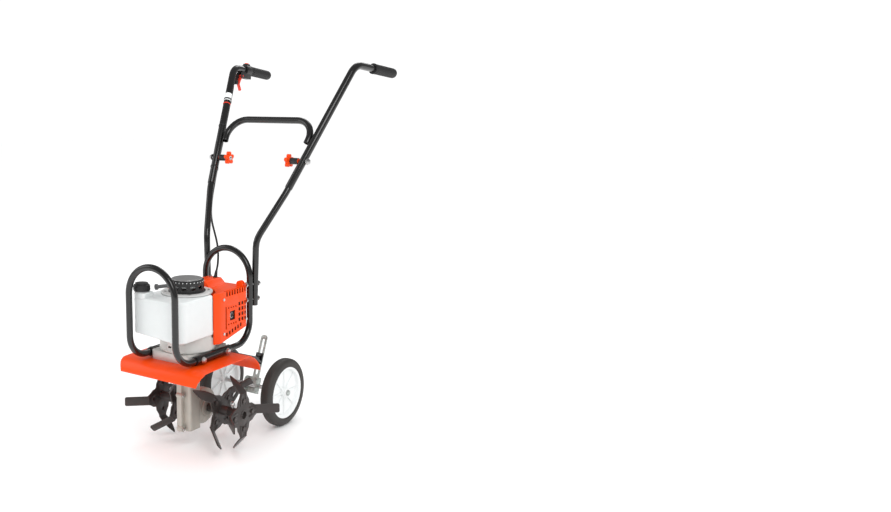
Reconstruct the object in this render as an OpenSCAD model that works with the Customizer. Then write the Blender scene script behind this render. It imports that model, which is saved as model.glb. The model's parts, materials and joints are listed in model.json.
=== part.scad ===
// Small petrol tiller: a two-stroke engine with an upright crankshaft over a worm gearbox,
// four bladed stars on one axle, a tubular cage, a three-piece handle and two rear wheels.
// Millimetres. +Z is up, -Y is the front, +X is the operator's left. The origin lies under
// the middle of the whole machine, on the ground.

/* [Wheels] */
// Outer diameter of a tyre
wheel_d = 203; // [190:1:215]
// Width of a tyre
tyre_w = 36; // [30:1:40]
// Diameter of the wheel disc inside the tyre
rim_d = 158; // [146:1:164]
// Distance between the middles of the two tyres
wheel_track = 227; // [215:1:250]
// Distance of the wheel axle behind the tine axle
wheel_y = 247; // [235:1:265]
// Diameter of the wheel axle
wheel_axle_d = 12; // [10:0.5:14]

/* [Wheel bar] */
// Width of the slotted bar
bar_w = 22; // [20:1:28]
// Thickness of the slotted bar
bar_t = 5; // [4:0.5:7]
// Length of the slotted bar
bar_len = 182; // [150:1:190]
// Width of the slot, which takes the clamp bolt
slot_w = 9; // [8.6:0.1:11]
// How far the bar leans back
bar_lean = 21.7; // [16:0.1:26]
// Distance of the clamp bolt above the wheel axle, along the bar
clamp_up = 84; // [70:1:95]

/* [Tines] */
// Distance from the axle to a blade's tip
tine_r = 107; // [96:1:107]
// Distance from the axle to the bend of a blade
blade_root_r = 63; // [58:1:68]
// Width of a blade
blade_w = 26; // [20:1:30]
// Thickness of a star and its blades
blade_t = 3.5; // [3:0.5:5]
// Angle of the blades that turn outwards
bend_out = 48; // [35:1:52]
// Angle of the blades that turn inwards
bend_in = 42; // [35:1:48]
// Distance of an inner star from the middle
inner_star_x = 73; // [70:1:78]
// Distance of an outer star from the middle
outer_star_x = 146; // [140:1:160]
// Height of the tine axle above the ground
axle_z = 108.8; // [108:0.1:114]
// Diameter of the tine axle
axle_d = 17; // [15:0.5:17]
// Outer diameter of the hub tubes
hub_d = 27; // [25:0.5:30]

/* [Gearbox] */
// Distance between the worm shaft and the tine axle
gear_centres = 58; // [58:1:60]
// Number of teeth on the worm wheel
wheel_teeth = 30; // [28:1:30]
// Pitch radius of the worm wheel
wheel_pitch_r = 42; // [42:0.5:43]
// Half width of the upright gear case
case_half_w = 26; // [25:0.5:28]
// Underside of the gear case above the ground
case_bottom_z = 59; // [55:1:60]

/* [Fender] */
// Width of the fender
fender_w = 285; // [260:1:300]
// Front edge of the fender, ahead of the tine axle
fender_front = 187; // [175:1:192]
// Rear edge of the fender, behind the tine axle
fender_rear = 92; // [84:1:100]
// Thickness of the fender sheet
fender_t = 2; // [1.5:0.5:3]

/* [Cage] */
// Outside diameter of the cage tube
cage_d = 18; // [15:0.5:20]
// Wall of all the tubes
tube_wall = 1.5; // [1.2:0.1:2]
// Half the distance between the two sides of the cage
cage_half_w = 79; // [76:1:86]
// Height of the level rails
rail_z = 281; // [280:1:284]
// Distance of the front hoop ahead of the tine axle
front_hoop_y = 203; // [199:1:210]
// Distance of the rear hoop behind the tine axle
rear_hoop_y = 125; // [123:1:135]
// Height of the front hoop's middle line
front_hoop_z = 536; // [510:1:560]
// Height of the rear hoop's middle line
rear_hoop_z = 543; // [520:1:560]
// Bend radius between a rail and a hoop
cage_bend = 62; // [50:1:66]

/* [Handle] */
// Outside diameter of the lower handle tubes
low_d = 19; // [18:0.5:20]
// Outside diameter of the upper handle tubes
up_d = 22; // [22:0.5:24]
// Height of the clamp knobs
knob_z = 787; // [770:1:800]
// Distance of a clamp knob's bolt from the middle
knob_x = 156; // [150:1:165]
// Distance of a clamp knob's bolt behind the tine axle
knob_y = 280; // [270:1:290]
// Height of the handle's top bends
top_z = 1062; // [1000:1:1120]
// Distance of the top bends from the middle
top_x = 221; // [205:1:245]
// Distance of the top bends behind the tine axle
top_y = 461; // [440:1:480]
// Length of a grip
grip_len = 127; // [110:1:135]
// Outside diameter of a grip
grip_d = 30.5; // [28:0.5:34]

/* [Engine] */
// Radius of the clutch housing
bell_r = 76; // [70:1:76]
// Radius of the fan housing
fan_r = 66; // [62:1:67]
// Radius of the starter cover
starter_r = 46.5; // [42:0.5:50]
// Width of the fuel tank
tank_w = 160; // [140:1:162]
// Front of the fuel tank, ahead of the tine axle
tank_front = 187; // [175:1:190]
// Diameter of the fuel cap
cap_d = 43; // [36:1:44]
// Outer face of the orange shroud, from the middle
shroud_x = 86; // [84:1:90]
// Wall of the moulded covers and the tank
skin = 2.2; // [1.6:0.1:3]

/* [Fits] */
// Radial clearance of a shaft that turns in its bore
run_gap = 0.05; // [0.02:0.01:0.1]
// Gap around a piece that slides or turns beside another
side_gap = 0.4; // [0.3:0.1:0.8]

/* [Hidden] */
$fn = 48;
BLACK = "#1b1a1a";
ORANGE = "#ff3c0a";
CAST = "#b9b4a8";
STEEL = "#c4c6c8";
ZINC = "#b4bbb8";
IRON = "#3b3434";
RED = "#d8261c";

low_r = low_d / 2;
up_r = up_d / 2;
cage_r = cage_d / 2;
axle_r = axle_d / 2;
hub_r = hub_d / 2;
grip_r = grip_d / 2;
wheel_r = wheel_d / 2;
engine_y = -gear_centres;        // the crankshaft, clutch and worm share one upright line
bolt_r = 4;                      // M8
screw_r = 2.5;                   // M5

// ---- handle line: foot, lower bend, small kink, clamp bolt, top bend, end of the grip
foot_gap = 0.3;
foot_x = cage_half_w + 4;
foot_z = 384;
low_bend_z = 571;
low_bend_x = foot_x + 5;
handle_y = rear_hoop_y + sqrt(pow(cage_r + low_r + foot_gap, 2) - pow(foot_x - cage_half_w, 2));
kink_z = 700;
arm_rise = top_z - knob_z;
function arm_at(z) = [knob_x + (top_x - knob_x) * (z - knob_z) / arm_rise,
    knob_y + (top_y - knob_y) * (z - knob_z) / arm_rise, z];
arm_top = [top_x, top_y, top_z];
arm_dir = unit(arm_top - arm_at(knob_z));
low_end_z = knob_z + 22;
up_end_z = 713;
grip_dir = unit([0.07, 0.99, -0.1]);
grip_start = 95;                 // along the top tube, from the bend
grip_end = arm_top + grip_dir * (grip_start + grip_len);
grip_bore_gap = 0.05;
grip_taper = 6;                  // the rounded end is this much smaller

// ---- the machine's own middle, from front hoop to the end of the grips
machine_front = -front_hoop_y - cage_r;
machine_rear = grip_end[1] + (grip_r - grip_taper) * sqrt(1 - pow(grip_dir[1], 2));
mid_y = (machine_front + machine_rear) / 2;

// ---- engine levels
sleeve_r = 12;
sleeve_front = -125;
sleeve_rear = 25;
rail_bolt_ys = [-104, 2];
rail_joint_y = (sleeve_front + sleeve_rear) / 2;
plate_bottom = rail_z - 14;
plate_top = rail_z + 10;
plate_half_w = cage_half_w - sleeve_r - 0.1;
plate_front = -134;
plate_rear = 36;
bell_bottom = rail_z + 13;
bell_top = bell_bottom + 32;
case_top = plate_bottom;
crank_z = bell_top + 37;         // the cylinder's own line
crankcase_top = bell_top + 72;
crankcase_r = 42;
fan_bottom = crankcase_top + 4;
fan_top = fan_bottom + 48;
starter_top = fan_top + 34;
tank_bottom = bell_top + 9;
tank_rise = 5;                   // degrees the underside rises towards the right
tank_top = 445.5;
filler_top = 461;
cap_z0 = filler_top - 3;
cap_at = [-tank_w / 2 + 15, -tank_front + 19];
cyl_front = engine_y + crankcase_r + 2;
cyl_rear = 92;
fin_half = 40;
shroud_front = -48;
shroud_rear = 108;
shroud_top = 446;
shroud_in_x = -46;
shroud_clear_r = bell_r + 1.5;
shaft_r = 7.5;                   // crankshaft and worm shaft in their bearings
web_r = 30;
pin_throw = 17;

// ---- worm gear
worm_pitch_r = gear_centres - wheel_pitch_r;
lead = 2 * PI * wheel_pitch_r / wheel_teeth;
worm_turns = 5;
worm_len = worm_turns * lead;
worm_z0 = axle_z - worm_len / 2;
worm_out_r = worm_pitch_r + 2.4;
worm_root_r = worm_pitch_r - 3;
housing_r = wheel_pitch_r + 9;
cavity_r = wheel_pitch_r + 4.5;

// ---- small helpers -----------------------------------------------------------------

function unit(v) = v / norm(v);
function arc_pts(c, r, a0, a1, n) =
    [for (i = [0 : n]) c + r * [cos(a0 + (a1 - a0) * i / n), sin(a0 + (a1 - a0) * i / n)]];
// Outline of a rectangle between two corners with its own radius at each corner
function round_rect(x0, y0, x1, y1, rad) = let (r = is_list(rad) ? rad : [rad, rad, rad, rad])
    concat(arc_pts([x0 + r[0], y0 + r[0]], r[0], 180, 270, 6),
        arc_pts([x1 - r[1], y0 + r[1]], r[1], 270, 360, 6),
        arc_pts([x1 - r[2], y1 - r[2]], r[2], 0, 90, 6),
        arc_pts([x0 + r[3], y1 - r[3]], r[3], 90, 180, 6));
// Outline of a strip of even thickness along a bent line, on its left side
function side_dir(p, i) = let (a = p[max(i - 1, 0)], b = p[min(i, len(p) - 2)],
    c = p[i == 0 ? 1 : i], e = p[min(i + 1, len(p) - 1)], u = unit(c - a), v = unit(e - b),
    w = unit(u + v)) [-w[1], w[0]] / max(0.3, u * w);
function strip(p, t) = concat(p, [for (i = [len(p) - 1 : -1 : 0]) p[i] + t * side_dir(p, i)]);

// Everything is drawn about the tine axle and moved here to the machine's middle
module placed() translate([0, -mid_y, 0]) children();

// An upright frame at p whose Z points along d and whose X stays level
module aim(p, d) {
    z = unit(d);
    x = norm([z[0], z[1]]) < 0.001 ? [1, 0, 0] : unit([-z[1], z[0], 0]);
    y = cross(z, x);
    multmatrix([[x[0], y[0], z[0], p[0]], [x[1], y[1], z[1], p[1]],
        [x[2], y[2], z[2], p[2]], [0, 0, 0, 1]]) children();
}

module tube_run(a, b, ro, ri) aim(a, b - a) difference() {
    cylinder(r = ro, h = norm(b - a));
    translate([0, 0, -1]) cylinder(r = ri, h = norm(b - a) + 2);
}

// The bend at corner b of a tube that comes from a and leaves for c
module tube_bend(a, b, c, rad, ro, ri) {
    d1 = unit(b - a);
    d2 = unit(c - b);
    turn = acos(d1 * d2);
    n = unit(d2 - (d1 * d2) * d1);
    s = b - d1 * rad * tan(turn / 2);
    m = s + n * rad;
    z = cross(d1, n);
    multmatrix([[-n[0], d1[0], z[0], m[0]], [-n[1], d1[1], z[1], m[1]],
        [-n[2], d1[2], z[2], m[2]], [0, 0, 0, 1]])
        rotate_extrude(angle = turn, $fn = 96) translate([rad, 0]) difference() {
            circle(r = ro);
            circle(r = ri);
        }
}

// Middle line of a bent tube as pairs of point and direction: the ends of p, and an arc of
// the given radius at each inner point
function bend_pairs(a, b, c, rad) = let (d1 = unit(b - a), d2 = unit(c - b),
    turn = acos(d1 * d2), n = unit(d2 - (d1 * d2) * d1), m = b - d1 * rad * tan(turn / 2) + n * rad,
    k = max(2, ceil(turn / 12)))
    [for (i = [0 : k]) let (t = turn * i / k)
        [m - n * rad * cos(t) + d1 * rad * sin(t), d1 * cos(t) + n * sin(t)]];
function run_pairs(p, rads) = concat([[p[0], unit(p[1] - p[0])]],
    [for (i = [1 : len(p) - 2]) each bend_pairs(p[i - 1], p[i], p[i + 1], rads[i - 1])],
    [[p[len(p) - 1], unit(p[len(p) - 1] - p[len(p) - 2])]]);

// A hollow tube bent at the inner points of p. flat is square to the plane of its bends.
tube_sides = 20;
module bent_tube(p, rads, ro, ri, flat) {
    q = run_pairs(p, rads);
    n = len(q);
    m = tube_sides;
    pts = [for (r = [ro, ri], i = [0 : n - 1], k = [0 : m - 1])
        let (u = unit(cross(flat, q[i][1])), v = cross(q[i][1], u), a = 360 * (k + 0.5) / m)
        q[i][0] + r * (cos(a) * u + sin(a) * v)];
    o = n * m;
    polyhedron(pts, concat(
        [for (i = [0 : n - 2], k = [0 : m - 1]) let (j = (k + 1) % m)
            [i * m + j, i * m + k, (i + 1) * m + k, (i + 1) * m + j]],
        [for (i = [0 : n - 2], k = [0 : m - 1]) let (j = (k + 1) % m)
            [o + i * m + k, o + i * m + j, o + (i + 1) * m + j, o + (i + 1) * m + k]],
        [for (k = [0 : m - 1]) let (j = (k + 1) % m) [k, j, o + j, o + k]],
        [for (k = [0 : m - 1]) let (j = (k + 1) % m, e = (n - 1) * m)
            [e + j, e + k, o + e + k, o + e + j]]));
}

module x_cyl(p, r, h) translate(p) rotate([0, 90, 0]) cylinder(r = r, h = h);
module y_cyl(p, r, h) translate(p) rotate([-90, 0, 0]) cylinder(r = r, h = h);
module z_cyl(p, r, h) translate(p) cylinder(r = r, h = h);
module side(s) if (s > 0) children(); else mirror([1, 0, 0]) children();
// Hexagon head or nut along Z
module hex(across, h) cylinder(d = across / cos(30), h = h, $fn = 6);

// ---- frame and handle ----------------------------------------------------------------

module hoop(y, z_mid, end_y, holes_y) difference() {
    // up one side, over the half round top and down the other, with a tail along each rail
    straight = z_mid - cage_half_w;
    fwd = end_y > y ? 1 : -1;
    union() {
        for (s = [-1, 1]) side(s) {
            tube_run([cage_half_w, end_y, rail_z], [cage_half_w, y + fwd * cage_bend, rail_z],
                cage_r, cage_r - tube_wall);
            tube_bend([cage_half_w, end_y, rail_z], [cage_half_w, y, rail_z],
                [cage_half_w, y, straight], cage_bend, cage_r, cage_r - tube_wall);
            tube_run([cage_half_w, y, rail_z + cage_bend], [cage_half_w, y, straight],
                cage_r, cage_r - tube_wall);
        }
        translate([0, y, straight]) rotate([90, 0, 0]) rotate_extrude(angle = 180, $fn = 96)
            translate([cage_half_w, 0]) difference() {
                circle(r = cage_r);
                circle(r = cage_r - tube_wall);
            }
    }
    for (by = holes_y, s = [-1, 1])
        x_cyl([s * cage_half_w - 15, by, rail_z], bolt_r + 0.2, 30);
}

module cage_front_hoop() color(BLACK) placed()
    hoop(-front_hoop_y, front_hoop_z, rail_joint_y - 0.5, [rail_bolt_ys[0]]);

module cage_rear_hoop() color(BLACK) placed() difference() {
    hoop(rear_hoop_y, rear_hoop_z, rail_joint_y + 0.5, [rail_bolt_ys[1]]);
    for (z = foot_bolt_zs, s = [-1, 1]) foot_bolt_line(s, z) z_cyl([0, 0, -30], bolt_r + 0.2, 60);
}

// Two bolts on each side hold a handle foot behind the rear hoop
foot_bolt_zs = [402, 446];
module foot_bolt_line(s, z) {
    x = foot_x + (low_bend_x - foot_x) * (z - foot_z) / (low_bend_z - foot_z);
    side(s) aim([x, handle_y, z], [cage_half_w - x, rear_hoop_y - handle_y, 0]) children();
}

module rail_sleeves() color(BLACK) placed() for (s = [-1, 1]) difference() {
    y_cyl([s * cage_half_w, sleeve_front, rail_z], sleeve_r, sleeve_rear - sleeve_front);
    y_cyl([s * cage_half_w, sleeve_front - 1, rail_z], cage_r + 0.1,
        sleeve_rear - sleeve_front + 2);
    for (by = rail_bolt_ys) x_cyl([s * cage_half_w - 15, by, rail_z], bolt_r + 0.2, 30);
}

module frame_bolts() color(STEEL) placed() {
    // rail bolts, screwed through the sleeves into the base plate
    for (by = rail_bolt_ys, s = [-1, 1]) side(s) {
        x_cyl([plate_half_w - 15, by, rail_z], bolt_r, sleeve_r * 2 + 15.05);
        x_cyl([cage_half_w + sleeve_r + 0.05, by, rail_z], 8.5, 1.6);
        translate([cage_half_w + sleeve_r + 1.6, by, rail_z]) rotate([0, 90, 0]) hex(13, 5.3);
    }
    // handle foot bolts, through the foot and the rear hoop
    for (z = foot_bolt_zs, s = [-1, 1]) foot_bolt_line(s, z) {
        z_cyl([0, 0, -low_r - 0.3], bolt_r, low_r + cage_d * 1.5 + foot_gap + 6);
        translate([0, 0, -low_r - 5.6]) hex(13, 5.4);
        translate([0, 0, low_r + cage_d + foot_gap + 0.4]) hex(13, 5.5);
    }
    // clamp bolts of the folding knobs, with a broad washer outside
    for (s = [-1, 1]) side(s) {
        x_cyl([knob_x - knob_out - 12, knob_y, knob_z], bolt_r, knob_out + knob_seat + 14);
        x_cyl([knob_x + knob_seat, knob_y, knob_z], 9.5, 1.8);
        translate([knob_x + knob_seat + 1.7, knob_y, knob_z]) rotate([0, 90, 0]) hex(13, 5.5);
    }
}

module lower_handle(s) color(BLACK) placed() side(s) difference() {
    kink = arm_at(kink_z);
    bent_tube([[foot_x, handle_y, foot_z], [low_bend_x, handle_y, low_bend_z], kink,
        arm_at(low_end_z)], [70, 160], low_r, low_r - tube_wall, [1, -0.3, 0]);
    for (z = foot_bolt_zs) foot_bolt_line(1, z) z_cyl([0, 0, -30], bolt_r + 0.2, 60);
    x_cyl([knob_x - 30, knob_y, knob_z], bolt_r + 0.2, 60);
}
module lower_handle_left() lower_handle(1);
module lower_handle_right() lower_handle(-1);

module upper_handle(s) color(BLACK) placed() side(s) difference() {
    bent_tube([arm_at(up_end_z), arm_top, arm_top + grip_dir * (grip_start + grip_len - 10)],
        [48], up_r, low_r + 0.2, [1, -0.1, 0]);
    x_cyl([knob_x - 30, knob_y, knob_z], bolt_r + 0.2, 60);
}
module upper_handle_left() upper_handle(1);
module upper_handle_right() upper_handle(-1);

// The brace is a tube bent to a U, whose legs lie along the inside of the arms
brace_z = 897;
brace_off = up_r + up_r - 1;
brace_in = unit([-1, 0, 0] + arm_dir[0] * arm_dir);
function brace_at(z) = arm_at(z) + brace_off * brace_in;
module cross_brace() color(BLACK) placed() {
    c = brace_at(brace_z);
    m = [-1, 1, 1];
    low = brace_at(brace_z - 64);
    difference() {
        bent_tube([[for (i = [0 : 2]) low[i] * m[i]], [for (i = [0 : 2]) c[i] * m[i]], c, low],
            [58, 58], up_r - 1, up_r - 1 - tube_wall, [0, 0.83, -0.56]);
        for (s = [-1, 1]) side(s) aim(arm_at(knob_z), arm_dir) cylinder(r = up_r + 0.05, h = 300);
    }
}

// Star knob on the inside of each arm, with a moulded collar
knob_out = 44;
knob_stem = 28;
knob_seat = up_r + 2.6;          // clears the leaning tube
module knob(s) color(ORANGE) placed() side(s)
    translate([knob_x - knob_seat - side_gap, knob_y, knob_z]) rotate([0, -90, 0]) difference() {
        union() {
            cylinder(r = 8, h = knob_stem + 1);
            translate([0, 0, knob_stem]) cylinder(r = 11.5, h = 12);
            for (a = [0 : 72 : 288]) rotate(a) translate([13.5, 0, knob_stem + 1])
                cylinder(r = 6, h = 10);
        }
        translate([0, 0, -1]) cylinder(r = bolt_r + run_gap, h = knob_stem + 16);
    }
module knob_left() knob(1);
module knob_right() knob(-1);

module grip(s) color(BLACK) placed() side(s)
    aim(arm_top + grip_dir * grip_start, grip_dir) difference() {
        union() {
            cylinder(r = grip_r - 1.5, h = grip_len - 14);
            cylinder(r = grip_r + 1, h = 5);
            translate([0, 0, 12]) cylinder(r = grip_r, h = grip_len - 26);
            translate([0, 0, grip_len - 15]) cylinder(r1 = grip_r, r2 = grip_r - grip_taper, h = 15);
        }
        translate([0, 0, -1]) cylinder(r = up_r + grip_bore_gap, h = grip_len - 8);
    }
module grip_left() grip(1);
module grip_right() grip(-1);

// ---- throttle, on the operator's right grip -------------------------------------------

// The right-hand unit is drawn in the plane of its arm: X sideways, Y along the top tube
// towards the grip, Z up, with its origin on the tube's middle line at the bend
module throttle_frame() side(-1) aim(arm_top, grip_dir)
    multmatrix([[-1, 0, 0, 0], [0, 0, 1, 0], [0, 1, 0, 0], [0, 0, 0, 1]]) children();
unit_start = 62;                 // along the top tube
unit_len = 30;
unit_w = 15;
unit_drop = 28;
trigger_pin = [44, -22];         // along the tube and up
trigger_pin_r = 2.5;
lock_z = 15.6;                   // underside of the lock button, and how far it is pressed
lock_travel = 3;
trigger_path = [[44, -22], [34, -34], [27, -50], [40, -70]];
cable_start = [8, -46];          // where the cable's outer sheath ends, along the tube and up

module throttle_housing() color(BLACK) placed() throttle_frame() difference() {
    union() {
        y_cyl([0, unit_start, 0], up_r + 5.5, unit_len);
        translate([-unit_w / 2 - 2, unit_start - 26, -unit_drop]) cube([4.6, 50, 20]);
        translate([unit_w / 2 - 2.6, unit_start - 26, -unit_drop]) cube([4.6, 50, 20]);
        translate([-unit_w / 2 - 2, unit_start, -unit_drop]) cube([unit_w + 4, unit_len, 20]);
        translate([-7, unit_start + 3, 8]) cube([14, 22, 12]);
        // cheek that reaches down beside the trigger, and the lug that holds the cable
        translate([unit_w / 2 - 0.6, 0, 0]) rotate([90, 0, 90]) linear_extrude(2.6)
            polygon([[unit_start - 26, -12], cable_start + [2, 7], cable_start + [2, -6],
                cable_start + [12, -6], [unit_start - 8, -unit_drop]]);
        translate([-6, cable_start[0] + 2, cable_start[1] - 6]) cube([unit_w / 2 + 8, 10, 12]);
    }
    y_cyl([0, unit_start - 40, 0], up_r + 0.05, unit_len + 60);
    // well for the lock button, and the pocket the trigger swings in
    translate([-5, unit_start + 8, lock_z - lock_travel - side_gap]) cube([10, 12, 20]);
    translate([-unit_w / 2 + 2.6, unit_start - 27, -unit_drop - 1]) cube([unit_w - 5.2, 30, 17]);
    x_cyl([-20, trigger_pin[0], trigger_pin[1]], trigger_pin_r + run_gap, 40);
    y_cyl([0, cable_start[0] - 1, cable_start[1]], cable_r + 0.1, 9);
    y_cyl([0, cable_start[0] - 1, cable_start[1]], 1.2, 30);
    // window of the stop switch
    translate([unit_w / 2 - 0.5, unit_start + 9, -23]) cube([5, 14, 7]);
}

// Bent finger lever on its own pin
module throttle_trigger() color(RED) placed() throttle_frame() {
    x_cyl([-unit_w / 2 - 2, trigger_pin[0], trigger_pin[1]], trigger_pin_r, unit_w + 4);
    difference() {
        union() {
            translate([-4, 0, 0]) rotate([90, 0, 90]) linear_extrude(8)
                polygon(strip(trigger_path, 6));
            x_cyl([-4, trigger_pin[0], trigger_pin[1]], 5, 8);
        }
        x_cyl([-5, trigger_pin[0], trigger_pin[1]], trigger_pin_r, 10);
    }
}

module trigger_lock() color(ORANGE) placed() throttle_frame()
    translate([side_gap - 5, unit_start + 8 + side_gap, lock_z])
        cube([10 - 2 * side_gap, 12 - 2 * side_gap, 7.4]);

module stop_switch() color(RED) placed() throttle_frame()
    translate([unit_w / 2 + 0.1, unit_start + 9 + side_gap, -23 + side_gap])
        cube([4.4, 7, 7 - 2 * side_gap]);

// Throttle cable: from the unit, along the back of the arm, through the rear hoop and into
// the top of the shroud, down to the carburettor
cable_r = 3;
cable_hole = [-17, 92];          // where it goes down into the shroud
cable_route = [[-222, 472, 1015], [-219, 459, 1014], [-213, 446, 1006], [-206, 433, 991],
    [-197, 407, 951], [-187, 380, 911], [-178, 354, 871], [-168, 328, 831], [-159, 301, 791],
    [-150, 275, 751], [-140, 249, 711], [-128, 222, 673], [-114, 198, 634],
    [-102, 186, 606], [-88, 178, 580], [-70, 166, 554], [-54, 152, 530], [-42, 137, 508],
    [-31, 120, 491], [-22, 104, 481], [-17, 94, 473], [-17, 91, 460], [-24, 84, 446],
    [-38, 73, 435], [-52, 61, 427], [-60, 50, 419], [-61, 44, 406]];
function spline(p, i, t) = let (a = p[max(i - 1, 0)], b = p[i], c = p[i + 1],
    d = p[min(i + 2, len(p) - 1)])
    0.5 * (2 * b + (c - a) * t + (2 * a - 5 * b + 4 * c - d) * t * t
        + (3 * b - a - 3 * c + d) * t * t * t);
function smooth(p, n) = concat([for (i = [0 : len(p) - 2], k = [0 : n - 1]) spline(p, i, k / n)],
    [p[len(p) - 1]]);
// A round cord swept along a line of points, as one closed skin
module cord(p, r, sides) {
    n = len(p);
    dirs = [for (i = [0 : n - 1]) unit(p[min(i + 1, n - 1)] - p[max(i - 1, 0)])];
    u = [for (d = dirs) unit(cross(d, [0.94, -0.34, 0.02]))];
    pts = [for (i = [0 : n - 1], k = [0 : sides - 1]) p[i]
        + r * (cos(360 * k / sides) * u[i] + sin(360 * k / sides) * cross(dirs[i], u[i]))];
    polyhedron(pts, concat([[for (k = [0 : sides - 1]) k]],
        [[for (k = [sides - 1 : -1 : 0]) (n - 1) * sides + k]],
        [for (i = [0 : n - 2], k = [0 : sides - 1]) let (m = (k + 1) % sides)
            [i * sides + m, i * sides + k, (i + 1) * sides + k, (i + 1) * sides + m]]));
}
module throttle_cable() color(BLACK) placed() cord(smooth(cable_route, 3), cable_r, 10);

// ---- engine ---------------------------------------------------------------------------

module base_plate() color(CAST) placed() difference() {
    union() {
        translate([0, 0, plate_bottom]) linear_extrude(plate_top - plate_bottom)
            polygon(round_rect(-plate_half_w, plate_front, plate_half_w, plate_rear, 10));
        z_cyl([0, engine_y, plate_top - 1], bell_r - 4, bell_bottom - plate_top + 1);
    }
    z_cyl([0, engine_y, plate_bottom - 1], 24, 40);
    z_cyl([0, engine_y, plate_bottom + 14], bell_r - 12, 40);
    for (by = rail_bolt_ys, s = [-1, 1]) x_cyl([s * plate_half_w - 20, by, rail_z], bolt_r, 40);
    for (p = fender_holes) z_cyl([p[0], p[1], plate_bottom - 1], screw_r + 0.1, 14);
}
fender_holes = [[-50, -112], [50, -112], [-50, 12], [50, 12]];

module clutch_housing() color(CAST) placed() difference() {
    union() {
        z_cyl([0, engine_y, bell_bottom], bell_r, bell_top - bell_bottom);
        z_cyl([0, engine_y, bell_bottom], bell_r + 1, 4);
        // front rim that the tank stands on
        intersection() {
            difference() {
                z_cyl([0, engine_y, bell_top - 1], bell_r, 30);
                z_cyl([0, engine_y, bell_top - 2], bell_r - 14, 40);
            }
            tank_wedge(0);
            translate([-100, -200, 0]) cube([200, 200 + shroud_front, 500]);
        }
    }
    z_cyl([0, engine_y, bell_bottom - 1], bell_r - 5, bell_top - bell_bottom - 3);
    z_cyl([0, engine_y, bell_bottom], 20, 60);
    // drain slot at the front
    translate([-6, engine_y - bell_r - 5, bell_bottom + 12]) cube([12, 12, 5]);
}

// Three shoes on a hub, carried by the crankshaft inside the drum
drum_r = 38;
module clutch_shoes() color("#5a5450") placed() {
    translate([0, engine_y, bell_bottom + 8]) difference() {
        union() {
            cylinder(r = 15, h = 14);
            for (a = [0 : 120 : 240]) rotate(a) translate([10, -4, 2]) cube([18, 8, 10]);
            for (a = [0 : 120 : 240]) rotate(a - 50) rotate_extrude(angle = 100)
                translate([26, 0]) square([drum_r - 2 - 27, 14]);
        }
        translate([0, 0, -1]) cylinder(r = shaft_r, h = 30);
    }
}

module crankcase() color(CAST) placed() difference() {
    union() {
        z_cyl([0, engine_y, bell_top], crankcase_r, crankcase_top - bell_top);
        translate([-28, engine_y + 20, crank_z - 28]) cube([56, cyl_front - engine_y - 20, 56]);
    }
    z_cyl([0, engine_y, crank_z - 20], web_r + 2.5, 40);
    y_cyl([0, engine_y, crank_z], 22, 70);
    z_cyl([0, engine_y, bell_top - 1], shaft_r + 2, 80);
    z_cyl([0, engine_y, crank_z - 33], bearing_or, 11);
    z_cyl([0, engine_y, crank_z + 22], bearing_or, 11);
}

bearing_or = 16;
bearing_gap = 0.02;
module ball_bearing(bore, outer, h) difference() {
    cylinder(r = outer - bearing_gap, h = h);
    translate([0, 0, -1]) cylinder(r = bore + run_gap, h = h + 2);
    for (z = [-1, h - 1.2]) translate([0, 0, z]) difference() {
        cylinder(r = outer - 3, h = 2.2);
        translate([0, 0, -1]) cylinder(r = bore + 3, h = 4);
    }
}
axle_bearing_or = 17.5;
module ball_bearings() color(STEEL) placed() {
    for (z = [crank_z - 33, crank_z + 22, worm_low_z, worm_high_z])
        translate([0, engine_y, z]) ball_bearing(shaft_r, bearing_or, 11);
    for (s = [-1, 1]) side(s) translate([axle_bearing_x, 0, axle_z]) rotate([0, 90, 0])
        ball_bearing(axle_r, axle_bearing_or, 9);
}
worm_low_z = case_bottom_z + 6;
worm_high_z = case_top - 30;
axle_bearing_x = 13;

module crankshaft() color(STEEL) placed() translate([0, engine_y, 0]) {
    z_cyl([0, 0, bell_bottom + 6], shaft_r, crank_z - 18 - bell_bottom - 6);
    z_cyl([0, 0, crank_z - 19], web_r, 11);
    z_cyl([0, pin_throw, crank_z - 9], 8, 18);
    z_cyl([0, 0, crank_z + 8], web_r, 11);
    z_cyl([0, 0, crank_z + 18], shaft_r, fan_bottom + 42 - crank_z - 18);
}

// Flywheel with fan blades and the cup that the starter's pawls catch
flywheel_r = 50;
module flywheel() color("#8d8f92") placed() translate([0, engine_y, fan_bottom + 6]) difference() {
    union() {
        cylinder(r = flywheel_r, h = 8);
        for (a = [0 : 30 : 330]) rotate(a) translate([24, -1.2, 7]) cube([flywheel_r - 26, 2.4, 18]);
        cylinder(r = 22, h = 26);
    }
    translate([0, 0, -1]) cylinder(r = shaft_r, h = 40);
    translate([0, 0, 14]) cylinder(r = 18, h = 20);
}

module fan_housing() color("#d8dadc") placed() translate([0, engine_y, 0]) difference() {
    union() {
        z_cyl([0, 0, crankcase_top], fan_r, fan_top - crankcase_top);
        z_cyl([0, 0, fan_top - 4], fan_r + 4, 4);
    }
    z_cyl([0, 0, fan_bottom], fan_r - skin, fan_top - fan_bottom - skin);
    z_cyl([0, 0, crankcase_top - 1], 12, 20);
    z_cyl([0, 0, fan_top - skin - 1], starter_r - 5, 10);
    // outlet of the cooling air, towards the cylinder
    translate([-26, 30, fan_bottom]) cube([52, 60, 30]);
}

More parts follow.
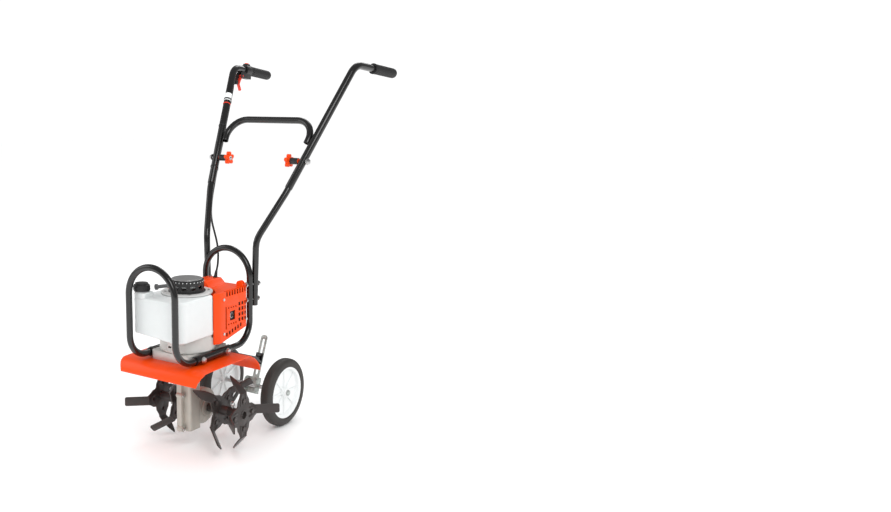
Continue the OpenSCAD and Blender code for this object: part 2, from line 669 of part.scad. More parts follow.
starter_wall = 3;
pulley_r = 28;
pulley_bore = 5;
pulley_out = 36;
handle_out = unit([-0.41, -0.912, 0]);
eyelet_z = fan_top + 20;
module starter_cover() color(BLACK) placed() translate([0, engine_y, 0]) difference() {
    union() {
        z_cyl([0, 0, fan_top], starter_r + 4, 3);
        z_cyl([0, 0, fan_top], starter_r, starter_top - fan_top - 2);
        z_cyl([0, 0, starter_top - 3], starter_r - 4.5, 3);
        aim([0, 0, eyelet_z], handle_out) cylinder(r = 7, h = starter_r + 5);
    }
    difference() {
        z_cyl([0, 0, fan_top - 1], starter_r - starter_wall, starter_top - fan_top - 4);
        // post that carries the pulley
        z_cyl([0, 0, eyelet_z - 9], pulley_bore - run_gap, 40);
    }
    // air windows round the wall
    for (a = [0 : 30 : 330]) if (abs(a - 240) > 16)
        rotate(a) translate([starter_r - 12, -7, fan_top + 9]) cube([20, 14, 10]);
    aim([0, 0, eyelet_z], handle_out) cylinder(r = 3, h = starter_r + 20);
}

module starter_pulley() color("#d9d3c4") placed() translate([0, engine_y, eyelet_z - 7])
    rotate_extrude($fn = 64) polygon([[pulley_bore, 0], [pulley_out, 0], [pulley_out, 3],
        [pulley_r, 4.5], [pulley_r, 9.5], [pulley_out, 11], [pulley_out, 14], [pulley_bore, 14]]);

// Pull handle, stowed against the eyelet, with the stub of its rope inside it
handle_len = 42;
module starter_handle() color("#55575a") placed()
    aim([0, engine_y, eyelet_z] + handle_out * (starter_r + 5 + side_gap), handle_out) {
        cylinder(r = 6.5, h = 6);
        translate([0, 0, 6]) cylinder(r = 5, h = handle_len - 12);
        translate([0, 0, handle_len - 7]) cylinder(r = 8, h = 7);
    }

module cylinder_block() color("#a7a8a6") placed() difference() {
    union() {
        y_cyl([0, cyl_front, crank_z], 26, cyl_rear - cyl_front);
        translate([-27, cyl_front, crank_z - 27]) cube([54, 6, 54]);
        for (i = [0 : 9]) translate([-fin_half, cyl_front + 16 + i * 8.6, crank_z - 35])
            cube([fin_half * 2, 2.4, 70]);
    }
    y_cyl([0, cyl_front - 1, crank_z], piston_r + run_gap, 78);
    y_cyl([0, cyl_front + 70, crank_z], 5, 60);
    // exhaust port to the left, inlet port to the right
    x_cyl([0, 28, crank_z], 9, 60);
    x_cyl([-60, 34, crank_z + 4], 8, 60);
}
piston_r = 20;
piston_top_y = cyl_front + 74;
module piston() color("#c9c9c7") placed() difference() {
    y_cyl([0, piston_top_y - 36, crank_z], piston_r, 36);
    y_cyl([0, piston_top_y - 37, crank_z], piston_r - 3, 31);
    x_cyl([-30, piston_top_y - 18, crank_z], 5, 60);
}

module spark_plug() color("#e8e4da") placed() {
    y_cyl([0, cyl_front + 80, crank_z], 4.9, cyl_rear - cyl_front - 80);
    translate([0, cyl_rear, crank_z]) rotate([-90, 0, 0]) hex(17, 6);
    y_cyl([0, cyl_rear + 6, crank_z], 6, 5);
    y_cyl([0, cyl_rear + 10, crank_z], 8, 20);
}

module ignition_coil() color("#2a2624") placed() translate([0, engine_y, fan_bottom]) rotate(150)
    difference() {
        union() {
            translate([flywheel_r - 6, -11, 0]) cube([18, 22, 5.6]);
            translate([flywheel_r + 2, -14, 0]) cube([9, 28, 22]);
        }
        translate([0, 0, 5.4]) cylinder(r = flywheel_r + 1, h = 30);
    }

muffler_x0 = 47;
outlet_at = [34, 375];
outlet_r = 5.5;
module muffler() color("#4a4846") placed() difference() {
    union() {
        translate([muffler_x0, 4, 340]) cube([30, 80, 88]);
        x_cyl([fin_half + 0.2, 28, crank_z], 14, 8);
        x_cyl([muffler_x0 + 29, outlet_at[0], outlet_at[1]], 7, shroud_x - skin - muffler_x0 - 30);
    }
    translate([muffler_x0 + 1.5, 5.5, 341.5]) cube([27, 77, 85]);
    x_cyl([fin_half - 1, 28, crank_z], 9, 12);
    x_cyl([muffler_x0 + 20, outlet_at[0], outlet_at[1]], outlet_r, 30);
}

// ---- shroud, carburettor and tank ------------------------------------------------------

shroud_low_front = 306;
shroud_low_rear = 333;
hump_x0 = -46;
hump_x1 = 2;
hump_y0 = 24;
hump_top = 461;
shroud_outline = round_rect(shroud_in_x, shroud_front, shroud_x, shroud_rear, [3, 30, 14, 3]);
shroud_inline = round_rect(shroud_in_x - 5, shroud_front + skin, shroud_x - skin,
    shroud_rear - skin, [1, 28, 12, 1]);

module engine_shroud() color(ORANGE) placed() difference() {
    union() {
        translate([0, 0, shroud_low_front]) linear_extrude(shroud_top - shroud_low_front)
            polygon(shroud_outline);
        // raised cover over the throttle cable, with a sloping left side
        translate([0, shroud_rear - 8, 0]) rotate([90, 0, 0]) linear_extrude(shroud_rear - 8 - hump_y0)
            polygon([[hump_x0, shroud_top - 4], [hump_x1 + 14, shroud_top - 4],
                [hump_x1, hump_top - 5], [hump_x1 - 6, hump_top], [hump_x0, hump_top]]);
        // rounded ear at the rear left corner
        translate([shroud_x - 15, shroud_rear - 10, shroud_top + 5]) rotate([90, 0, 0])
            cylinder(r = 11, h = 12);
    }
    translate([0, 0, shroud_low_front - 1]) linear_extrude(shroud_top - shroud_low_front + 1 - skin)
        polygon(shroud_inline);
    translate([0, shroud_rear - 8 - skin, 0]) rotate([90, 0, 0])
        linear_extrude(shroud_rear - 8 - hump_y0 - 2 * skin)
        polygon([[hump_x0 - 5, shroud_top - 6], [hump_x1 + 10, shroud_top - 6],
            [hump_x1 - 3, hump_top - 7], [hump_x1 - 7, hump_top - skin],
            [hump_x0 - 5, hump_top - skin]]);
    z_cyl([0, engine_y, shroud_low_front - 10], shroud_clear_r, 200);
    // sloping underside
    translate([-100, -20, shroud_low_front]) rotate([atan((shroud_low_rear - shroud_low_front)
        / (shroud_rear + 20)), 0, 0]) translate([0, -60, -60]) cube([300, 260, 60]);
    z_cyl([cable_hole[0], cable_hole[1], hump_top - 10], cable_r + 2.5, 20);
    y_cyl([0, shroud_rear - 10, crank_z], 16, 20);
    side_slots();
}

louvre_n = 8;
louvre_pitch = 12;
module side_slots() {
    x0 = shroud_x - 12;
    // slanted louvres that wrap over the top edge, and short ones along the bottom edge
    for (i = [0 : louvre_n - 1]) translate([x0, 6 + i * louvre_pitch, shroud_top - 14])
        cube([30, 7, 30]);
    for (i = [0 : 5]) translate([shroud_x - 5, 4 + i * 13, 320 + i * 3.1])
        cube([10, 7.5, 11]);
    // tall slit, exhaust opening, rows of small holes round it
    translate([shroud_x - 5, 2, 340]) cube([10, 5, 64]);
    translate([shroud_x - 5, 22, 362]) cube([10, 24, 26]);
    for (i = [0 : 3], z = [350, 396]) translate([shroud_x - 5, 14 + i * 11, z]) cube([10, 5, 5]);
    // grid at the rear
    for (i = [0 : 2], j = [0 : 3]) translate([shroud_x - 5, 62 + i * 14, 352 + j * 15])
        cube([10, 9, 10]);
}

carb_at = [-fin_half - 5, 34, crank_z + 4];
primer_r = 7;
primer_at = carb_at + [-16, -30, -6];
module carburetor() color("#9a9a98") placed() difference() {
    union() {
        x_cyl([carb_at[0] - 30, carb_at[1], carb_at[2]], 13, 30 + 4.8);
        translate([carb_at[0] - 26, carb_at[1] - 16, carb_at[2] - 17]) cube([20, 32, 34]);
        z_cyl([carb_at[0] - 16, carb_at[1] + 10, carb_at[2] + 16], 5, 22);
        y_cyl([primer_at[0], primer_at[1], primer_at[2]], primer_r + 2.5, 16);
    }
    x_cyl([carb_at[0] - 40, carb_at[1], carb_at[2]], 7.5, 60);
    z_cyl([choke_at[0], choke_at[1], carb_at[2] + 4], 2.5 + run_gap, 30);
    y_cyl([primer_at[0], primer_at[1] - 1, primer_at[2]], primer_r + side_gap, 6);
}

// Air cleaner: a closed box whose choke lever comes out of its front
air_x1 = carb_at[0] - 30;
air_w = 24;
module air_cleaner() color(ORANGE) placed() difference() {
    translate([air_x1 - air_w, 0, 0]) rotate([90, 0, 90]) linear_extrude(air_w)
        polygon(round_rect(2, 332, 92, 430, 12));
    translate([air_x1 - air_w + skin, 0, 0]) rotate([90, 0, 90]) linear_extrude(air_w - 2 * skin)
        polygon(round_rect(2 + skin, 332 + skin, 92 - skin, 430 - skin, 10));
    x_cyl([air_x1 - 5, carb_at[1], carb_at[2]], 12, 10);
    for (i = [0 : 5]) translate([air_x1 - air_w - 5, 18 + i * 10, 344]) cube([10, 4, 18]);
}

choke_at = [carb_at[0] - 16, carb_at[1] - 8];
module choke_lever() color(BLACK) placed() translate([choke_at[0], choke_at[1], carb_at[2] + 17]) {
    z_cyl([0, 0, -12], 2.5, 13);
    z_cyl([0, 0, side_gap], 5, 3);
    translate([-3.5, -24, side_gap]) cube([7, 24, 3]);
    translate([-3.5, -26, side_gap]) cube([7, 4, 11]);
}

module primer_bulb() color("#d8d2c8") placed()
    translate([primer_at[0], primer_at[1] - side_gap, primer_at[2]]) rotate([90, 0, 0]) {
        cylinder(r = primer_r, h = 4);
        translate([0, 0, 4]) cylinder(r1 = primer_r, r2 = primer_r / 2, h = 5);
    }

// The tank wraps round the front of the engine and stands on the clutch housing
module tank_body(inset, z0, z1) linear_extrude(z1 - z0) difference() {
    polygon(round_rect(-tank_w / 2 + inset, -tank_front + inset, tank_w / 2 - inset,
        shroud_front + 3 - inset, [9 - inset, 30 - inset, 8 - inset, 8 - inset]));
    translate([0, engine_y]) circle(r = fan_r + 1.5 + inset);
}
// the space below the tank's sloping underside
module tank_wedge(lift) translate([tank_w / 2, -tank_front - 1, tank_bottom + lift])
    rotate([0, tank_rise, 0]) translate([-tank_w - 20, 0, -40]) cube([tank_w + 40, 160, 40]);
// raised corner round the filler neck, clear of the fan housing's flange
module filler_step() difference() {
    translate([0, 0, tank_top - 1]) linear_extrude(filler_top - tank_top - 1)
        polygon(round_rect(-tank_w / 2 + 0.5, -tank_front + 0.5, cap_at[0] + 24, cap_at[1] + 24, 8));
    z_cyl([0, engine_y, tank_top - 2], fan_r + 5.5, 40);
}
module filler(inset, h) translate(cap_at) cylinder(r = 18 - inset, h = h);
module fuel_tank() color("#eef0f0") placed() difference() {
    union() {
        translate([0, 0, tank_bottom]) tank_body(0, tank_bottom, tank_top);
        translate([0, 0, tank_top - 1]) filler(0, filler_top - tank_top + 1);
        filler_step();
        translate([0, 0, filler_top - 1]) translate(cap_at) cylinder(r = 15, h = 15);
    }
    difference() {
        translate([0, 0, tank_bottom + skin]) tank_body(skin, tank_bottom + skin, tank_top - skin);
        tank_wedge(skin);
    }
    translate([0, 0, tank_top - 2 * skin]) filler(skin + 1, filler_top - tank_top + skin);
    translate([0, 0, filler_top - 5]) translate(cap_at) cylinder(r = 12.5, h = 30);
    tank_wedge(0);
}

module fuel_cap() color(BLACK) placed() translate([cap_at[0], cap_at[1], filler_top + 0.3])
    difference() {
        union() {
            cylinder(r = cap_d / 2, h = 17);
            translate([0, 0, 16]) cylinder(r = cap_d / 2 - 4, h = 6);
        }
        translate([0, 0, -1]) cylinder(r = 15 + side_gap, h = 16);
    }

// ---- gearbox ----------------------------------------------------------------------------

lug_zs = [case_bottom_z + 7, 162, 236];
lug_y = -92;
module case_solid() {
    // upright barrel, wheel housing with its domed sides, bearing bosses, split flange
    translate([0, 0, case_bottom_z]) linear_extrude(case_top - case_bottom_z)
        polygon(round_rect(-case_half_w, engine_y - 25, case_half_w, engine_y + 25, 9));
    x_cyl([-10, 0, axle_z], housing_r, 20);
    for (s = [-1, 1]) side(s) {
        translate([9.9, 0, axle_z]) rotate([0, 90, 0]) cylinder(r1 = housing_r, r2 = 29, h = 12);
        x_cyl([12, 0, axle_z], 24.5, 14);
    }
    translate([-5, lug_y - 3, case_bottom_z]) cube([10, 20, case_top - case_bottom_z - 20]);
    for (z = lug_zs) x_cyl([-9, lug_y, z], 8, 18);
}
module case_room() {
    x_cyl([-9, 0, axle_z], cavity_r, 18);
    z_cyl([0, engine_y, case_bottom_z + 17], worm_out_r + 1.6, worm_high_z - case_bottom_z - 17);
    z_cyl([0, engine_y, worm_low_z], bearing_or, 40);
    z_cyl([0, engine_y, worm_high_z - 1], bearing_or, 12);
    z_cyl([0, engine_y, worm_high_z], shaft_r + 2, 80);
    x_cyl([-40, 0, axle_z], axle_r + 1, 80);
    for (s = [-1, 1]) side(s) x_cyl([axle_bearing_x - 0.2, 0, axle_z], axle_bearing_or, 9.4);
    for (z = lug_zs) x_cyl([-20, lug_y, z], screw_r + 0.1, 40);
}
module case_half(s) color(CAST) placed() side(s) difference() {
    intersection() {
        case_solid();
        translate([0, -150, 0]) cube([60, 260, 300]);
    }
    case_room();
}
module gear_case_left() case_half(1);
module gear_case_right() case_half(-1);

module case_bolts() color(STEEL) placed() {
    for (z = lug_zs) {
        x_cyl([-14, lug_y, z], screw_r, 27);
        translate([9, lug_y, z]) rotate([0, 90, 0]) hex(8, 4);
        translate([-13, lug_y, z]) rotate([0, 90, 0]) hex(8, 4);
    }
    for (p = fender_holes) translate([p[0], p[1], plate_bottom - fender_t]) {
        z_cyl([0, 0, -1], screw_r, 13);
        translate([0, 0, -4]) hex(8, 4);
    }
}

// Worm, cut as a twisted section with one raised side, on a shaft that ends in the drum
function worm_r(a) = worm_root_r + (worm_out_r - worm_root_r)
    * min(1, max(0, (94 - a) / (94 - 41)));
module worm_shaft() color("#a9abad") placed() translate([0, engine_y, 0]) {
    translate([0, 0, worm_z0]) linear_extrude(worm_len, twist = -360 * worm_turns,
        slices = worm_turns * 10, $fn = 16)
        polygon([for (k = [0 : 15]) let (a = -180 + k * 22.5)
            worm_r(abs(a)) * [cos(90 + a), sin(90 + a)]]);
    z_cyl([0, 0, worm_low_z + side_gap], shaft_r, worm_z0 - worm_low_z);
    z_cyl([0, 0, worm_z0 + worm_len], shaft_r, bell_bottom + 1 - worm_z0 - worm_len);
    difference() {
        z_cyl([0, 0, bell_bottom], drum_r + 3, 25);
        z_cyl([0, 0, bell_bottom + 4], drum_r, 25);
    }
}

// Worm wheel: straight teeth narrow enough to clear the thread along their whole width
tooth_half = [3.6, 2.05, 1.45] / wheel_pitch_r * 180 / PI;
tooth_r = [wheel_pitch_r - 3.2, wheel_pitch_r, wheel_pitch_r + 1.9];
module worm_wheel() color("#b08d4a") placed() translate([-7, 0, axle_z]) rotate([0, 90, 0])
    difference() {
        linear_extrude(14) polygon([for (i = [0 : wheel_teeth - 1], q = [0 : 3]) let (
            a = -90 + 360 * i / wheel_teeth, k = [0, 2, 2, 0][q], s = q < 2 ? -1 : 1,
            h = a + s * tooth_half[k]) tooth_r[k] * [cos(h), sin(h)]]);
        translate([0, 0, -1]) cylinder(r = axle_r, h = 20);
        for (a = [0 : 60 : 300]) rotate(a) translate([24, 0, -1]) cylinder(r = 7, h = 20);
    }

// ---- tines ------------------------------------------------------------------------------

axle_half = outer_star_x - 8;
hub_start = case_half_w + 3;
hub_joint = 98;
hub_end = outer_star_x + blade_t;
clip_x = 110;
module tine_axle() color(STEEL) placed() difference() {
    x_cyl([-axle_half, 0, axle_z], axle_r, axle_half * 2);
    for (s = [-1, 1]) z_cyl([s * clip_x, 0, axle_z - 20], 2.6, 40);
}

// One blade, bent about its root, drawn pointing up Z from the axle's line
module blade(turn, hooked) translate([0, 0, blade_root_r]) rotate([0, turn, 0]) {
    len = (tine_r - blade_root_r) / cos(turn);
    w = blade_w / 2;
    rotate([90, 0, 90]) linear_extrude(blade_t, center = true) polygon(hooked
        ? concat([[-w, -3], [w, -3]], [for (k = [0 : 6]) [w * (1 - 1.5 * pow(k / 6, 2)), len * k / 6]],
            [for (k = [6 : -1 : 0]) [-w * (1 - 0.1 * k / 6) - 5 * sin(180 * k / 6) + 2.4 * k / 6, len * k / 6 * 0.93]])
        : concat([[-w, -3], [w, -3]], arc_pts([w - 5, len - 5], 5, 0, 90, 3),
            arc_pts([5 - w, len - 5], 5, 90, 180, 3)));
}
// A star: round middle and four arms; two opposite blades turn out and two turn in
module star(x, phase, x_hub0, x_hub1) difference() {
    union() {
        translate([x, 0, axle_z]) for (k = [0 : 3]) rotate([phase + 90 * k, 0, 0]) {
            rotate([90, 0, 90]) linear_extrude(blade_t, center = true)
                polygon([[-30, 8], [30, 8], [25, 40], [blade_w / 2 + 3, 54],
                    [blade_w / 2, blade_root_r], [-blade_w / 2, blade_root_r],
                    [-blade_w / 2 - 3, 54], [-25, 40]]);
            blade(k % 2 == 0 ? -bend_in : bend_out, k % 2 == 0);
        }
        x_cyl([x - blade_t / 2, 0, axle_z], 40, blade_t);
        x_cyl([x_hub0, 0, axle_z], hub_r, x_hub1 - x_hub0);
    }
    x_cyl([x_hub0 - 1, 0, axle_z], axle_r + 0.1, x_hub1 - x_hub0 + 2);
    translate([x, 0, axle_z]) for (k = [0 : 3]) rotate([phase + 90 * k, 0, 0])
        x_cyl([-10, 0, 40], 5.5, 20);
    z_cyl([clip_x, 0, axle_z - 20], 2.6, 40);
    // counterbore that leaves the axle's end in view
    x_cyl([max(x_hub1, outer_star_x) - 9, 0, axle_z], hub_r - 2.5, 30);
}
module tine_inner(s) color(IRON) placed() side(s)
    star(inner_star_x, 45, hub_start, hub_joint - side_gap);
module tine_outer(s) color(IRON) placed() side(s) star(outer_star_x, 0, hub_joint, hub_end);
module tine_inner_left() tine_inner(1);
module tine_inner_right() tine_inner(-1);
module tine_outer_left() tine_outer(1);
module tine_outer_right() tine_outer(-1);

// Pin through hub and axle with a sprung ring at one end
module tine_clips() color(STEEL) placed() for (s = [-1, 1]) side(s) {
    z_cyl([clip_x, 0, axle_z - hub_r - 6], 2.5, hub_d + 12);
    translate([clip_x, 0, axle_z + hub_r + 11]) rotate([90, 0, 0]) rotate_extrude()
        translate([6, 0]) circle(r = 1.5);
}

// ---- fender -----------------------------------------------------------------------------

fender_top = plate_bottom;
fender_line = [[-fender_front, fender_top - 35], [-fender_front + 3, fender_top - 23],
    [-fender_front + 11, fender_top - 11], [-fender_front + 25, fender_top - 3],
    [-fender_front + 45, fender_top - fender_t], [38, fender_top - fender_t],
    [60, fender_top - 14], [78, fender_top - 31], [fender_rear, fender_top - 55]];
arm_w = 24;
module fender() color(ORANGE) placed() difference() {
    intersection() {
        translate([-fender_w / 2, 0, 0]) rotate([90, 0, 90]) linear_extrude(fender_w)
            polygon(strip(fender_line, fender_t));
        translate([0, 0, 150]) linear_extrude(200)
            polygon(round_rect(-fender_w / 2, -fender_front - 5, fender_w / 2, fender_rear + 5,
                [26, 26, 14, 14]));
    }
    // way for the gear case, and notch for the wheel arm
    translate([-case_half_w - 3, lug_y - 13, 200]) cube([case_half_w * 2 + 6, 80, 100]);
    translate([-arm_w / 2 - 4, -24, 180]) cube([arm_w + 8, 140, 120]);
    for (p = fender_holes) z_cyl([p[0], p[1], 200], screw_r + 0.2, 100);
}

// ---- wheels -----------------------------------------------------------------------------

// The bar's own frame: origin on the wheel axle, Y square to the bar and rearwards, Z up it
module bar_frame() translate([0, wheel_y, wheel_r]) rotate([-bar_lean, 0, 0]) children();
bar_front = 11;
bar_low = -24;
pad_t = 6;

module wheel_arm() color(BLACK) placed() {
    pad = bar_point([bar_front - pad_t - 0.15, clamp_up - 14]);
    difference() {
        union() {
            translate([-arm_w / 2, 0, 0]) rotate([90, 0, 90]) linear_extrude(arm_w)
                polygon(strip([[-20, plate_bottom - 6], [42, plate_bottom - 6],
                    pad - [26, -22], pad], 6));
            bar_frame() translate([-arm_w / 2, bar_front - pad_t - 0.1, clamp_up - 17])
                cube([arm_w, pad_t, 34]);
        }
        bar_frame() y_cyl([0, -20, clamp_up], bolt_r + 0.2, 60);
    }
    // clamp bolt with its nut behind the bar
    bar_frame() {
        y_cyl([0, bar_front - pad_t - 0.2, clamp_up], bolt_r, pad_t + bar_t + 12);
        translate([0, bar_front - pad_t - 0.1, clamp_up]) rotate([90, 0, 0]) hex(13, 5);
    }
}
function bar_point(p) = [wheel_y + p[0] * cos(bar_lean) + p[1] * sin(bar_lean),
    wheel_r - p[0] * sin(bar_lean) + p[1] * cos(bar_lean)];

module wheel_bar() color(ZINC) placed() bar_frame() difference() {
    union() {
        translate([0, bar_front, 0]) rotate([-90, 0, 0]) linear_extrude(bar_t)
            polygon([for (p = round_rect(-bar_w / 2, bar_low, bar_w / 2, bar_low + bar_len,
                bar_w / 2 - 1)) [p[0], -p[1]]]);
        // folded bracket with the axle through both cheeks
        translate([-23, bar_front - 3, bar_low]) cube([46, 3.1, 50]);
        for (s = [-1, 1]) side(s) translate([20, 0, 0]) rotate([90, 0, 90]) linear_extrude(3)
            polygon(round_rect(-13, bar_low, bar_front - 1, bar_low + 50, [12, 0.5, 0.5, 14]));
    }
    x_cyl([-40, 0, 0], wheel_axle_d / 2 + 0.05, 80);
    translate([0, bar_front + bar_t + 5, clamp_up - 50]) rotate([90, 0, 0])
        linear_extrude(bar_t + 10) polygon(round_rect(-slot_w / 2, 0, slot_w / 2, 112, 4.2));
    for (s = [-1, 1]) y_cyl([s * 16, 0, 14], 3, 30);
}

axle_end = wheel_track / 2 + 22;
module wheel_axle() color(STEEL) placed() {
    x_cyl([-axle_end, wheel_y, wheel_r], wheel_axle_d / 2, axle_end * 2);
    for (s = [-1, 1]) side(s) {
        x_cyl([wheel_track / 2 + hub_half + side_gap, wheel_y, wheel_r], 9, 2.5);
        x_cyl([wheel_track / 2 - hub_half - side_gap - 2.5, wheel_y, wheel_r], 9, 2.5);
    }
}

hub_half = 17;
rim_r = rim_d / 2;
module rim(s) color("#f2f3f3") placed() side(s) translate([wheel_track / 2, wheel_y, wheel_r])
    rotate([0, 90, 0]) difference() {
        union() {
            rotate_extrude($fn = 96) polygon([[12, -3], [rim_r - 9, -1], [rim_r - 9, -13],
                [rim_r - 2, -15], [rim_r - 2, -12], [rim_r - 5, -10], [rim_r - 5, 10],
                [rim_r - 2, 12], [rim_r - 2, 15], [rim_r - 9, 13], [rim_r - 12, 3.5], [12, 2]]);
            translate([0, 0, -hub_half]) cylinder(r = 14, h = hub_half * 2);
            for (a = [0 : 45 : 315]) rotate(a) translate([12, -1.5, 0]) cube([rim_r - 23, 3, 7]);
            for (a = [22.5 : 45 : 337.5]) rotate(a) translate([12, -1.5, -8]) cube([rim_r - 23, 3, 7]);
        }
        translate([0, 0, -30]) cylinder(r = wheel_axle_d / 2 + run_gap, h = 60);
    }
module rim_left() rim(1);
module rim_right() rim(-1);

// Tyre section: rounded tread, with a seat that the rim fills
function tyre_pt(a) = let (w = tyre_w / 2, h = (wheel_r - rim_r) , c = cos(a), q = sin(a))
    [rim_r + h * sign(q) * pow(abs(q), 0.75), w * sign(c) * pow(abs(c), 0.62)];
module tyre(s) color("#1d1b1b") placed() side(s) translate([wheel_track / 2, wheel_y, wheel_r])
    rotate([0, 90, 0]) rotate_extrude($fn = 96) polygon(concat(
        [for (a = [0 : 12 : 180]) tyre_pt(a)],
        [[rim_r - 1.6, -tyre_w / 2 + 1.6], [rim_r - 1.6, -12], [rim_r - 4.6, -10],
            [rim_r - 4.6, 10], [rim_r - 1.6, 12], [rim_r - 1.6, tyre_w / 2 - 1.6]]));
module tyre_left() tyre(1);
module tyre_right() tyre(-1);

cage_front_hoop();
cage_rear_hoop();
rail_sleeves();
frame_bolts();
lower_handle_left();
lower_handle_right();
upper_handle_left();
upper_handle_right();
cross_brace();
knob_left();
knob_right();
grip_left();
grip_right();
throttle_housing();
throttle_trigger();
trigger_lock();
stop_switch();
throttle_cable();
base_plate();
clutch_housing();
clutch_shoes();
crankcase();
crankshaft();
ball_bearings();
flywheel();
fan_housing();
starter_cover();
starter_pulley();
starter_handle();
cylinder_block();
piston();
spark_plug();
ignition_coil();
muffler();
engine_shroud();
carburetor();
air_cleaner();
choke_lever();
primer_bulb();
fuel_tank();
fuel_cap();
gear_case_left();
gear_case_right();
case_bolts();
worm_shaft();
worm_wheel();
tine_axle();
tine_inner_left();
tine_inner_right();
tine_outer_left();
tine_outer_right();
tine_clips();
fender();
wheel_arm();
wheel_bar();
wheel_axle();
rim_left();
rim_right();
tyre_left();
tyre_right();
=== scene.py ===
"""Looks of the small petrol tiller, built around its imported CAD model.

Each sub-assembly is a class that dresses its CAD nodes and adds the pieces that the plain CAD
leaves out. All sizes are metres, in the CAD model's own frame.
"""

import json
import logging
import math
from collections.abc import Callable
from dataclasses import dataclass, field
from enum import Enum

import bmesh
import bpy
from mathutils import Matrix, Vector


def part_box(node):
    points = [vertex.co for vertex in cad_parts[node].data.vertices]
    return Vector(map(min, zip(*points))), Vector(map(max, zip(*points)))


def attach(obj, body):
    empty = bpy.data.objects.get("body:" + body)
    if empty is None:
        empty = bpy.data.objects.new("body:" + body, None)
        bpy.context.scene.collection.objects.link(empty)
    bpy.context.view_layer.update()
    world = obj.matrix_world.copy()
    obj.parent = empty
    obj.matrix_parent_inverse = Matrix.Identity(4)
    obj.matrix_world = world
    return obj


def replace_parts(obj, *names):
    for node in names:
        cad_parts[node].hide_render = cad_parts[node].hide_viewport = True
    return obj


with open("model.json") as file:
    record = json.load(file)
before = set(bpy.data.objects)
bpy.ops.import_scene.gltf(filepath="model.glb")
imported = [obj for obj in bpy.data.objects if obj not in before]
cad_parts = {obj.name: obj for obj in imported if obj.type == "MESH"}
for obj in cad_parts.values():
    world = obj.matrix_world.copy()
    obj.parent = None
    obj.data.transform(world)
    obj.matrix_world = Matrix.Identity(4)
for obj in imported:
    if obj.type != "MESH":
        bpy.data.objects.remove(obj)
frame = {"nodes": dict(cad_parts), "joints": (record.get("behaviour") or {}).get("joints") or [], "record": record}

logging.basicConfig(level=logging.INFO, format="%(message)s")
LOG = logging.getLogger("tiller")
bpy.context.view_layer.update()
MM = 0.001
SIDES = (("left", 1.0), ("right", -1.0))
JOINTS = {joint["name"]: joint for joint in frame["joints"]}


# ---- places ---------------------------------------------------------------------------------


def joint_point(name: str) -> Vector:
    """Point on a CAD joint's line."""
    return Vector(JOINTS[name]["pos_m"])


def mirrored(point: Vector, side: float) -> Vector:
    """The point on the asked side: 1 is the left, -1 the right."""
    return Vector((point.x * side, point.y, point.z))


def aim(origin: Vector, direction: Vector) -> Matrix:
    """Frame whose Z points along a direction and whose X stays level.

    Args:
        origin: where the frame sits.
        direction: where its Z points.

    Returns:
        The frame as a matrix.
    """
    z = Vector(direction).normalized()
    level = Vector((-z.y, z.x, 0.0))
    x = level.normalized() if level.length > 1e-6 else Vector((1.0, 0.0, 0.0))
    y = z.cross(x)
    turned = Matrix((x, y, z)).transposed().to_4x4()
    return Matrix.Translation(origin) @ turned


@dataclass(frozen=True)
class Arm:
    """Middle line of one handle arm and its grip, from the left side's sizes."""

    knob: Vector
    top: Vector = Vector((0.221, 0.225768, 1.062))
    grip_way: Vector = Vector((0.07, 0.99, -0.1))

    @property
    def way(self) -> Vector:
        """Direction up the arm."""
        return (self.top - self.knob).normalized()

    def at(self, height: float) -> Vector:
        """Point of the arm's line at a height above the ground."""
        share = (height - self.knob.z) / (self.top.z - self.knob.z)
        return self.knob.lerp(self.top, share)

    def along_grip(self, distance: float) -> Vector:
        """Point of the top tube's line, from the bend towards the operator."""
        return self.top + self.grip_way.normalized() * distance


ARM = Arm(knob=mirrored(joint_point("knob_left_turn"), 1.0))
ENGINE = joint_point("crank_spin")
TINE_AXLE = joint_point("tine_spin")


# ---- finishes -------------------------------------------------------------------------------


class Grain(Enum):
    """How a surface breaks up the light, from the way it was made."""

    GLOSS = "gloss"
    CAST = "cast"
    MOULDED = "moulded"
    BRUSHED = "brushed"
    SPANGLED = "spangled"
    RUBBER = "rubber"


@dataclass(frozen=True)
class Finish:
    """One of the machine's finishes.

    Fields are linear colours and plain shader values; grain_size is in metres, and dust and
    wear are shares of the surface.
    """

    slot: str
    colour: tuple[float, float, float]
    roughness: float
    grain: Grain
    metallic: float = 0.0
    coat: float = 0.0
    coat_roughness: float = 0.06
    grain_size: float = 0.0012
    grain_height: float = 0.00004
    mottle: float = 0.10
    mottle_size: float = 0.03
    wear: float = 0.0
    wear_colour: tuple[float, float, float] = (0.45, 0.44, 0.42)
    dust: float = 0.06
    translucent: float = 0.0
    specular: float = 0.5

    def material(self) -> bpy.types.Material:
        """The finish as a material, built once."""
        shade = round(sum(self.colour) * 1000 + self.roughness * 100)
        name = f"finish_{self.slot}_{self.grain.value}_{shade}"
        known = bpy.data.materials.get(name)
        return known or MaterialMaker(self, name).build()


